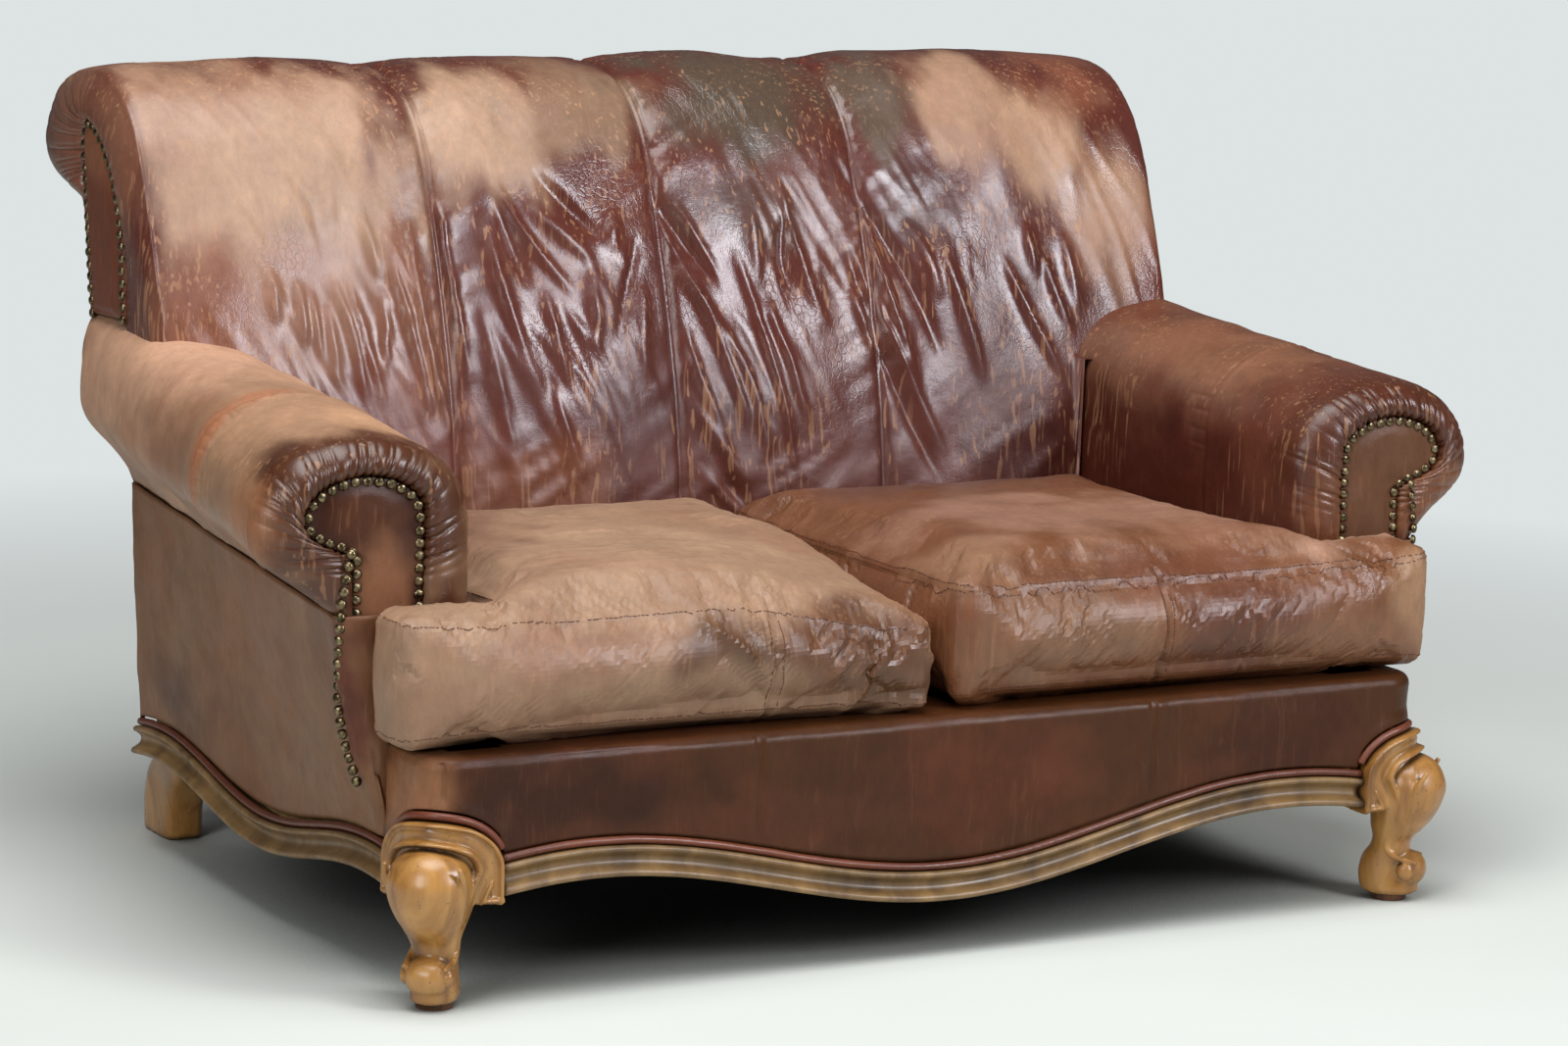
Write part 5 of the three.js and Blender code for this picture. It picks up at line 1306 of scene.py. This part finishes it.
z = np.linspace(330, 965, 120)
y = np.interp(z, [p[1] for p in FRONT_LINE + ROLL_LINE[:4]], [p[0] for p in FRONT_LINE + ROLL_LINE[:4]])
seam_rows = [np.stack(
    [np.full_like(z, seam + off), y - 10, z], axis=1,
) for seam in BACK_SEAMS for off in (-6.5, 6.5)]
stitched("back_stitches", back, seam_rows, "back_leather")

# Outside arms and the outside back
def outside_arm_part():
    """The outside arm with its front edge turned in over the arm's front. Rows run back, columns run up."""
    turn_in = [
        (-668, -352.6, 1), (-680, -354.5, 1), (-692, -356, 0.6), (0, -355, 0), (1, -350, 0), (2, -343, 0),
        (3, -336, 0), (4, -329, 0), (5, -322, 0), (6, -314, 0), (7, -305, 0),
    ]
    y = np.concatenate([[k[1] for k in turn_in], np.linspace(-295, BASE_BACK + 58, 84)])
    rows = []
    for number, depth in enumerate(y):
        share = depth_share(max(depth, BORDER_BACK))
        lip_x, lip_z = LIP_X - LIP_TAPER * share, ROLL_LIP + LIP_RISE * share
        low = side_wave(max(depth, BORDER_BACK)) + RAIL_HEIGHT + WELT + 2.4
        z = np.linspace(low, lip_z - 2, 56)
        face = -panel_out(z, lip_x, lip_z)
        swell = 9 * smooth(z, 215, 275) * (1 - smooth(z, 350, 425))
        if number < 3:
            x = np.maximum(np.full_like(z, turn_in[number][0]), face + 4)
        else:
            lift = math.exp(-((depth + 331) / 15) ** 2)
            curl = 11 * max(0.0, (-343 - depth) / 12) ** 2
            x = face - swell * lift + curl
        rows.append(np.stack([x, np.full_like(z, depth), z], axis=1))
    sheet = np.stack(rows)
    rear_limit = rear_y(sheet[..., 2]) - 1.0
    sheet[..., 1] = np.minimum(sheet[..., 1], rear_limit)
    hold = smooth(sheet[..., 1], -320, -260) * smooth(
        sheet[..., 2] - sheet[..., 2].min(axis=1, keepdims=True), 0, 40,
    )
    sheet[..., 0] -= hold * (2.0 + 2.4 * noise(sheet, 120, 81, 2) + 0.8 * noise(sheet, 30, 82, 2))
    near = smooth(-sheet[..., 1], 270, 335)
    pucker = noise(sheet, (60, 60, 16), 83, 2)
    sheet[..., 0] -= 1.5 * near * pucker * (sheet[..., 1] > -352)
    back_sheet = sheet.copy()
    back_sheet[..., 0] += OUTSIDE_PANEL * 0.8
    back_sheet[..., 1] = np.maximum(back_sheet[..., 1], -346)
    rim = np.concatenate([sheet, back_sheet[:, ::-1]], axis=1)
    return solid_loft(rim)


outside = outside_arm_part()
for side, turn in SIDES:
    obj = piece(
        "outside_arm_leather_" + side, *turn(outside), OUTSIDE_LEATHER, "outside_leather",
        ["outside_arm_" + side],
    )
    paint(obj, "#79563c", [
        ((-720, 0, 320), (60, 200, 120), "#7d563c", 0.7), ((-720, -300, 400), (60, 90, 160), "#63402c", 0.6),
        ((-720, 250, 200), (60, 190, 90), "#54321f", 0.8), ((-720, -342, 330), (60, 26, 150), "#57291a", 0.9),
        ((-720, 300, 400), (60, 120, 90), "#83593f", 0.6),
    ], 8)


def outside_back_part():
    z = np.linspace(135, 804, 60)
    heights = [135, 178, 182, 462, 525, 575, 680, 804]
    widths = [653.7, 653.7, LEATHER_X, LEATHER_X, *(ARM_INNER + out for out in (140, 152, 156, 156))]
    half = np.interp(z, heights, widths)
    t = np.linspace(-1, 1, 96)
    sheet = np.zeros((len(z), len(t), 3))
    sheet[..., 0] = half[:, None] * t[None, :]
    sheet[..., 1] = rear_y(z)[:, None]
    sheet[..., 2] = z[:, None]
    edge = smooth(
        half[:, None] - np.abs(sheet[..., 0]), 0, 40,
    ) * smooth(z, 135, 175)[:, None] * (1 - smooth(z, 770, 804))[:, None]
    sheet[..., 1] += edge * (2.2 + 2.6 * noise(sheet, (190, 60, 230), 91, 2) + 0.7 * noise(sheet, 40, 92, 2))
    inner = sheet.copy()
    inner[..., 1] = rear_y(z)[:, None] - OUTSIDE_BACK
    rim = np.concatenate([sheet, inner[:, ::-1]], axis=1)
    return solid_loft(rim, flip=True)


obj = piece(
    "outside_back_leather", *outside_back_part(), OUTSIDE_LEATHER, "outside_leather", ["outside_back"],
)
paint(obj, "#5f3926", [
    ((0, 420, 600), (400, 200, 180), "#6d452f", 0.7), ((-500, 420, 300), (200, 200, 150), "#4f2d1e", 0.6),
], 12)


# Leather border under the cushions: front wall, both corners and the ledge
def border_part():
    top = DECK_TOP
    straight = np.linspace(-RAIL_END_X, RAIL_END_X, 230)
    left = np.linspace(SHOULDER_REACH, -SHOULDER_REACH, 70)
    lines = []
    # Stations run from the left side's rear, round the left corner, along the front and round the right one
    side_y = np.linspace(BORDER_BACK, RAIL_END_Y, 8)[:-1]
    for y in side_y:
        lines.append((-LEATHER_X, y, -1.0, 0.0, side_wave(y) + RAIL_HEIGHT + WELT + 1.8))
    for reach in left:
        x, y = corner_plan(reach, 0)
        x1, y1 = corner_plan(reach, 1)
        share = min(1.0, abs(reach) / (SHOULDER_REACH + WELT + 3))
        low = ARCH_SPRING + (ARCH_TOP - ARCH_SPRING + WELT + 3) * math.sqrt(1 - share**2)
        lines.append((float(x), float(y), float(x1 - x), float(y1 - y), low))
    for x in straight[1:-1]:
        lines.append((x, LEATHER_FRONT, 0.0, -1.0, float(front_wave(x)) + RAIL_HEIGHT + WELT + 1.8))
    right_side = [(-x, y, -nx, ny, low) for x, y, nx, ny, low in lines[: 7 + 70]][::-1]
    lines += right_side
    columns = []
    for x, y, nx, ny, low in lines:
        z = np.linspace(low, top - 14, 26)
        out = np.zeros_like(z)
        a = np.linspace(0.12, np.pi / 2, 9)
        roll_z = top - 14 + 14 * np.sin(a)
        roll_out = -14 + 14 * np.cos(a)
        ledge_out = np.linspace(-24, -112, 12)
        ledge_z = np.full_like(ledge_out, top)
        zz = np.concatenate([z, roll_z, ledge_z])
        oo = np.concatenate([out, roll_out, ledge_out])
        px = x + nx * oo
        py = y + ny * oo
        px = np.clip(px, -LEATHER_X, LEATHER_X)
        py = np.minimum(py, BORDER_BACK)
        columns.append(np.stack([px, py, zz], axis=1))
    sheet = np.stack(columns)
    normal = np.array([[nx, ny, 0] for _, _, nx, ny, _ in lines])[:, None, :]
    wall = (np.arange(sheet.shape[1]) < 30)[None, :]
    soft = 1.6 * noise(sheet, (160, 160, 60), 101, 2) + 0.5 * noise(sheet, 30, 102, 2) - 0.6
    seams = np.minimum.reduce([np.abs(sheet[..., 0] - s) for s in (-655, -258, 279)])
    on_front = sheet[..., 1] < -440
    soft = soft - 3.0 * bell(seams, 3.0) * on_front + 1.2 * bell(seams - 9, 6) * on_front
    near_low = smooth(sheet[..., 2] - sheet[:, :1, 2], 0, 18)
    sheet = sheet + normal * (np.where(wall, soft, 0) * near_low)[..., None]
    rear = sheet[:, :1].copy()
    rear = rear - normal * BORDER_WALL
    whole = np.concatenate([rear, sheet], axis=1)
    return whole.reshape(-1, 3), grid_faces(*whole.shape[:2])


border = piece("front_border_leather", *border_part(), BORDER_LEATHER, "border_leather", ["front_border"])
paint(border, "#44250f", [
    ((-710, -450, 245), (95, 90, 60), "#8a5f42", 0.95), ((-480, -470, 220), (190, 60, 80), "#331809", 0.85),
    ((60, -470, 210), (180, 60, 70), "#522817", 0.6), ((480, -470, 220), (160, 60, 60), "#3b1a0d", 0.6),
    ((-680, -400, 230), (40, 90, 60), "#8f6244", 0.9), ((-300, -470, 180), (300, 60, 40), "#4e2a18", 0.7),
], 13)


# Seat cushions: stuffed by a cloth simulation, then seamed and creased
def cushion_outline(count):
    """Plan of the left cushion, counterclockwise from above, evenly spaced."""
    inner, outer, ear, r = -1.5, -ARM_INNER + 2, -EAR_OUT, 34

    def turn(corner, before, after):
        a, b, c = (np.array(p, float) for p in (before, corner, after))
        t = np.linspace(0, 1, 9)[:, None]
        return (1 - t) ** 2 * a + 2 * (1 - t) * t * b + t**2 * c

    f, b = CUSHION_FRONT, CUSHION_BACK
    line = np.vstack([
        turn((inner, f), (inner - r, f), (inner, f + r)),
        turn((inner, b), (inner, b - r), (inner - r, b)),
        turn((outer, b), (outer + r, b), (outer, b - r)),
        [[outer, EAR_BACK + 8], [outer - 8, EAR_BACK]],
        turn((ear, EAR_BACK), (ear + r * 0.8, EAR_BACK), (ear, EAR_BACK - r * 0.8)),
        turn((ear, f), (ear, f + r), (ear + r, f)),
    ])
    closed = np.vstack([line, line[:1]])
    return along(closed, count + 1)[:-1]


def inset(outline, amount):
    tangent = np.roll(outline, -1, axis=0) - np.roll(outline, 1, axis=0)
    tangent /= np.maximum(np.linalg.norm(tangent, axis=1, keepdims=True), 1e-9)
    return outline + amount * np.stack([-tangent[:, 1], tangent[:, 0]], axis=1)


def cushion_heart(p):
    seat = np.stack([np.clip(p[:, 0], -430, -140), np.clip(p[:, 1], -300, -20)], axis=1)
    blend = smooth(p[:, 0], -545, -430)[:, None]
    front = lerp(np.stack([np.maximum(p[:, 0], -545), np.full(len(p), -407.0)], axis=1), seat, blend)
    rear = lerp(np.array([-540.0, -390.0]), seat, smooth(p[:, 1], EAR_BACK, EAR_BACK + 170)[:, None])
    on_ear = np.stack([np.clip(p[:, 0], -664, -560), np.full(len(p), -407.0)], axis=1)
    heart = np.where((p[:, 1] > CUSHION_FRONT + 30)[:, None], rear, front)
    heart = np.where((p[:, 0] > -430)[:, None], seat, heart)
    return np.where((p[:, 0] < -ARM_INNER - 5)[:, None], on_ear, heart)


CUSHION_LOW = DECK_TOP + 0.3
CUSHION_SEAM = CUSHION_LOW + CUSHION_THICKNESS


def slump(points, sag):
    """How far each point drops at the worn-out front corner beside the split."""
    reach = np.hypot(points[..., 0] + 1.5, points[..., 1] - CUSHION_FRONT)
    return sag * (1 - smooth(reach, 0, SAG_REACH)) * (points[..., 2] - CUSHION_LOW) / CUSHION_THICKNESS


def polyline_distance(points, line):
    """Distance from points to a closed polyline, and the place along it."""
    best = np.full(len(points), 1e9)
    where = np.zeros(len(points))
    ends = np.roll(line, -1, axis=0)
    reach = np.concatenate([[0], np.cumsum(np.linalg.norm(ends - line, axis=1))])
    for k, (a, b) in enumerate(zip(line, ends)):
        d = b - a
        t = np.clip((points - a) @ d / (d @ d), 0, 1)
        gap = np.linalg.norm(points - a - t[:, None] * d, axis=1)
        nearer = gap < best
        best = np.where(nearer, gap, best)
        where = np.where(nearer, lerp(reach[k], reach[k + 1], t), where)
    return best, where


def cushion_shell(sag, smaller):
    outline = cushion_outline(220)
    heart = cushion_heart(outline)
    rings = []
    for share in (0.9, 0.4, 0.0):
        ring = lerp(inset(outline, 16 + smaller), heart, share)
        rings.append(level(ring, CUSHION_LOW + smaller * 0.6))
    for t in np.linspace(0.06, 1, 12):
        bulge = 7 * (1 - math.sin(math.pi * min(t, 0.999)) ** 0.6)
        ring = inset(outline, bulge + smaller)
        rings.append(level(ring, lerp(CUSHION_LOW + smaller, CUSHION_SEAM - smaller * 0.5, t)))
    edge = inset(outline, 7 + smaller)
    for t in (0.05, 0.12, 0.2, 0.3, 0.42, 0.56, 0.7, 0.85, 0.96):
        ring = lerp(edge, heart, t)
        depth = polyline_distance(ring, outline)[0]
        rise = CROWN * (1 - np.exp(-((depth / 70) ** 1.1))) - smaller * 0.5
        rings.append(level(ring, CUSHION_SEAM + rise))
    points = np.stack(rings)
    points[..., 2] -= slump(points, sag)
    return solid_loft(points)


def stuffed(obj, voxel, cap):
    """Voxel skin, then a short cloth run under pressure. No point may move further than cap (in metres)."""
    voxel_skin(obj, voxel)
    start = np.array([v.co for v in obj.data.vertices])
    cloth = obj.modifiers.new("cloth", "CLOTH")
    settings = cloth.settings
    settings.quality = 5
    settings.mass = 0.3
    settings.tension_stiffness = 18
    settings.compression_stiffness = 10
    settings.bending_stiffness = 0.4
    settings.use_pressure = True
    settings.uniform_pressure_force = 4
    settings.effector_weights.gravity = 0
    cloth.collision_settings.use_collision = False
    cloth.point_cache.frame_start = 1
    cloth.point_cache.frame_end = 20
    scene = bpy.context.scene
    for step in range(1, 21):
        scene.frame_set(step)
    modifier_applied(obj, "cloth")
    scene.frame_set(1)
    end = np.array([v.co for v in obj.data.vertices])
    move = end - start
    reach = np.linalg.norm(move, axis=1, keepdims=True)
    end = start + move * np.minimum(1, cap / np.maximum(reach, 1e-9))
    obj.data.vertices.foreach_set("co", end.ravel())
    obj.data.update()


def normals_of(obj):
    no = np.zeros(len(obj.data.vertices) * 3)
    obj.data.vertex_normals.foreach_get("vector", no)
    return no.reshape(-1, 3)


def set_shape(obj, points):
    obj.data.vertices.foreach_set("co", to_row(points).ravel())
    obj.data.update()


def seam_line(sag, height, inward):
    line = level(inset(cushion_outline(150), inward), height)
    line[:, 2] -= slump(line, sag)
    return line


def crease_cushion(obj, mirrored_side, sag, folds, front_folds, boxing_x, seed):
    p, normal = points_of(obj), normals_of(obj)
    if mirrored_side:
        p[:, 0] *= -1
        normal[:, 0] *= -1
    move = np.zeros(len(p))
    top = smooth(normal[:, 2], 0.2, 0.8)
    side = 1 - np.abs(normal[:, 2])
    # Loose skin on the crown
    lean = p.copy()
    lean[:, 0] += 0.5 * p[:, 1]
    move += top * 2.6 * noise(p, 120, seed, 2)
    cross = p.copy()
    cross[:, 0] += 0.8 * p[:, 1]
    front_lip = top * bell(p[:, 1] - CUSHION_FRONT - 38, 34) * smooth(noise(p, 90, seed + 12), -0.3, 0.3)
    move += front_lip * 1.5 * (ridges(cross, (15, 60, 60), seed + 13, 2) - 0.4)
    move += top * 2.4 * (
        ridges(lean, (70, 34, 60), seed + 1, 2) - 0.3
    ) * smooth(noise(p, 110, seed + 2), -0.1, 0.5)
    move += side * 1.8 * noise(p, (60, 60, 90), seed + 3, 3)
    for centre, way, length, width, depth in folds:
        way = np.array(way, float) / np.linalg.norm(way)
        q = p - np.array(centre, float)
        run = q @ way
        gap = np.linalg.norm(q - run[:, None] * way, axis=1) + 3 * noise(p, 35, seed + 9, 2)
        move += depth * bell(gap, width) * bell(run, length)
    move += smooth(-normal[:, 1], 0.2, 0.7) * 1.25 * fold_heights(p[:, [0, 2]], front_folds)
    for height, inward, deep in ((CUSHION_SEAM, 6, 5.2), (CUSHION_LOW + 10, 6, 4.4)):
        gap, where = polyline_distance(p, seam_line(sag, height, inward))
        pucker = noise(np.stack([where, np.zeros_like(where), np.zeros_like(where)], axis=1), 13, seed + 5, 2)
        move += -deep * bell(gap, 3.4) + 2.0 * bell(gap - 9, 5.0)
        move += 1.6 * pucker * bell(gap - 12, 9.0)
    across = np.abs(p[:, 0] - boxing_x)
    on_box = (normal[:, 1] < -0.3) * (p[:, 2] < CUSHION_SEAM)
    move += on_box * (-3.2 * bell(across, 3.2) + 1.4 * bell(across - 9, 5))
    p += normal * move[:, None]
    p[:, 2] = np.maximum(p[:, 2], CUSHION_LOW)
    if mirrored_side:
        p[:, 0] *= -1
    set_shape(obj, p)


# Folds in the cushions' fronts, listed as for the back, then slack in their tops as
# (centre, direction, length, width, depth)
left_front_folds = [
    (6, 6, (-340, 420), (-250, 345), 15), (-5, 8, (-310, 385), (-265, 335), 0),
    (4, 5, (-275, 430), (-245, 400), 0), (-6, 4, (-155, 345), (-230, 285), 0),
    (6, 7, (-125, 370), (-205, 305), 0), (-4, 6, (-150, 400), (-190, 375), 0),
    (-3, 5, (-115, 395), (-160, 355), 0), (7, 4.5, (-75, 390), (-140, 285), 5),
    (-5, 7, (-100, 310), (-15, 315), 0), (4, 8, (-95, 295), (-5, 300), 0), (3, 6, (-70, 370), (-35, 365), 0),
    (-6, 4, (-35, 385), (0, 345), 0), (4, 4, (-40, 390), (-10, 340), -5), (-7, 5, (-20, 335), (5, 335), 0),
    (2.5, 4, (-345, 300), (-295, 340), 0), (-4, 5, (-55, 265), (-30, 270), 0),
]
right_front_folds = [
    (-3, 7, (-420, 400), (-380, 320), 5), (3, 7, (-455, 405), (-410, 320), 0),
    (-3, 6, (-350, 410), (-325, 350), 0), (-4, 9, (-60, 400), (-60, 320), 5),
    (3, 9, (-90, 395), (-85, 310), 5), (-3, 6, (-560, 395), (-525, 340), 0),
]
left_folds = [
    ((-30, -380, 425), (0.7, 0.6, -0.1), 90, 10, -3), ((-170, -400, 450), (1, 0.25, -0.1), 120, 13, -3),
    ((-150, -300, 455), (0.8, 0.6, 0), 130, 14, -3), ((-560, -400, 440), (0.3, 1, 0), 60, 9, -3),
]
right_folds = [
    ((-300, -420, 450), (1, 0.15, 0), 200, 10, -5), ((-250, -380, 460), (1, 0.3, 0), 160, 9, 4),
    ((-420, -430, 440), (1, -0.1, 0), 120, 9, -4), ((-90, -430, 440), (0.6, 0.8, 0), 80, 10, -5),
    ((-540, -440, 420), (0.5, 0.2, -0.8), 60, 10, 4),
]
voxel = 0.0055
cushion_plans = (("left", CORNER_SAG, left_folds, left_front_folds, -232, 110),
                 ("right", 0, right_folds, right_front_folds, -300, 140))
for side, sag, folds, front_folds, boxing, seed in cushion_plans:
    shell = cushion_shell(sag, 5)
    made = shell if side == "left" else mirrored(shell)
    pad = piece("seat_cushion_" + side, *made, CUSHION_LEATHER, "cushion_leather", ["cushion_" + side])
    stuffed(pad, voxel, 0.014)
    crease_cushion(pad, side == "right", sag, folds, front_folds, boxing, seed)
    turn = np.array([-1, 1, 1]) if side == "right" else np.array([1, 1, 1])
    rows = [seam_line(sag, CUSHION_SEAM + 5, 9) * turn, seam_line(sag, CUSHION_LOW + 15, 4) * turn]
    rows += [seam_line(sag, CUSHION_SEAM - 6, 4) * turn] if side == "right" else []
    z = np.linspace(CUSHION_LOW + 14, CUSHION_SEAM - 8, 40)
    beside = np.stack([np.full_like(z, boxing), np.full_like(z, CUSHION_FRONT), z], axis=1)
    rows += [(beside + [off, 0, 0]) * turn for off in (-6, 6)]
    stitched("seat_cushion_stitches_" + side, pad, rows, "cushion_leather")
    if side == "left":
        paint(pad, "#94745c", [
            ((-500, -470, 400), (150, 60, 50), "#85604a", 0.8),
            ((-60, -440, 380), (110, 90, 90), "#8f6a50", 0.8),
            ((-330, -250, 460), (240, 190, 60), "#9b7c63", 0.8),
            ((-500, 0, 450), (120, 200, 80), "#6d4a38", 0.8),
            ((-620, -410, 440), (90, 60, 50), "#9a7b62", 0.6),
            # The next three patches are painted shade: they darken the crumpled front folds beside the split
            ((-120, -462, 370), (165, 60, 90), "#57331d", 0.92),
            ((-70, -462, 320), (90, 60, 45), "#573a25", 0.85),
            ((-290, -462, 360), (80, 50, 62), "#50321f", 0.9),
            ((-330, -465, 330), (200, 40, 40), "#9c7d62", 0.6),
        ], 21)
    else:
        paint(pad, "#6b4229", [
            ((560, -250, 455), (230, 210, 60), "#a37c65", 0.95),
            ((330, -250, 460), (290, 200, 60), "#8c6652", 0.95),
            ((150, -465, 370), (170, 50, 70), "#7d5a42", 0.9),
            ((680, -450, 380), (60, 80, 80), "#9a775a", 0.9),
            ((400, -462, 370), (110, 40, 90), "#5a3424", 0.9),
            ((560, -462, 330), (150, 40, 50), "#7c553d", 0.8),
            ((300, 50, 455), (260, 110, 60), "#59382c", 0.8), ((60, -380, 450), (90, 90, 50), "#8d6a50", 0.7),
            ((300, -440, 445), (300, 50, 30), "#5e3626", 0.6),
        ], 22)


# Pale floor and backdrop with a painted contact shadow near and under the sofa, soft light
WALL_COLOUR = "#dde3e3"


def floor_and_light():
    n = Nodes("floor")
    where = n.add("ShaderNodeTexCoord").outputs["Object"]
    shade = n.ramp(n.noise(1.2, 3, where), [(0.3, "#ccd1cd"), (0.7, "#d0d5d1")])
    # Painted shadow: the floor colour is darkened by ambient occlusion near and under the sofa
    near = n.add("ShaderNodeAmbientOcclusion", {"Distance": 0.55}, samples=8).outputs["AO"]
    shade = n.mix(1.0, shade, n.ramp(near, [(0.1, 0.12), (0.48, 1.0)]), "MULTIPLY")
    stage_material = n.finish(shade, 0.85)
    tree = n.tree
    distance = n.add("ShaderNodeVectorMath", {0: where}, operation="LENGTH").outputs["Value"]
    far = n.ramp(n.maths("MULTIPLY", distance, 0.2), [(0.24, 0.0), (0.62, 1.0)])
    seen = n.add("ShaderNodeLightPath").outputs["Is Camera Ray"]
    glow = n.add("ShaderNodeEmission", {"Color": (*colour(WALL_COLOUR), 1), "Strength": 1.0}).outputs[0]
    share = n.maths("MULTIPLY", seen, far)
    blend = n.add("ShaderNodeMixShader", {0: share, 1: n.shader.outputs[0], 2: glow}).outputs[0]
    tree.links.new(blend, tree.nodes["Material Output"].inputs["Surface"])
    points = [(-40, -40, 0), (40, -40, 0), (40, 40, 0), (-40, 40, 0)]
    faces = [(0, 1, 2, 3)]
    mesh = bpy.data.meshes.new("floor")
    mesh.from_pydata(points, [], faces)
    mesh.shade_smooth()
    floor = bpy.data.objects.new("floor", mesh)
    bpy.context.scene.collection.objects.link(floor)
    floor.data.materials.append(stage_material)
    for name, place, aim, size, power, tone, all_rays in (
        ("window", (2.3, -4.1, 2.7), (-0.1, 0.1, 0.55), 1.7, 120, (1, 0.99, 0.97), True),
        ("window_sheen", (2.1, -4.1, 2.6), (-0.1, 0.1, 0.75), 2.1, 92, (0.72, 0.8, 1), False),
        ("ceiling", (-0.7, -1.0, 4.3), (0, 0, 0.3), 3.4, 205, (1, 1, 1), True),
        ("near_side", (-4.6, -3.0, 2.4), (-0.3, 0, 0.4), 2.2, 108, (1, 1, 1), True),
    ):
        data = bpy.data.lights.new(name, "AREA")
        data.shape = "DISK"
        data.size = size
        data.energy = power
        data.color = tone
        lamp = bpy.data.objects.new(name, data)
        bpy.context.scene.collection.objects.link(lamp)
        lamp.location = place
        lamp.rotation_euler = (Vector(aim) - Vector(place)).to_track_quat("-Z", "Y").to_euler()
        lamp.visible_diffuse = all_rays
    world = bpy.data.worlds.new("room")
    bpy.context.scene.world = world
    world.use_nodes = True
    tree = world.node_tree
    room = tree.nodes["Background"]
    room.inputs["Color"].default_value = (0.9, 0.93, 0.95, 1)
    room.inputs["Strength"].default_value = 0.1
    wall = tree.nodes.new("ShaderNodeBackground")
    wall.inputs["Color"].default_value = (*colour(WALL_COLOUR), 1)
    wall.inputs["Strength"].default_value = 1.0
    path = tree.nodes.new("ShaderNodeLightPath")
    choice = tree.nodes.new("ShaderNodeMixShader")
    tree.links.new(path.outputs["Is Camera Ray"], choice.inputs[0])
    tree.links.new(room.outputs[0], choice.inputs[1])
    tree.links.new(wall.outputs[0], choice.inputs[2])
    tree.links.new(choice.outputs[0], tree.nodes["World Output"].inputs["Surface"])
    bpy.context.scene.view_settings.view_transform = "Standard"


floor_and_light()
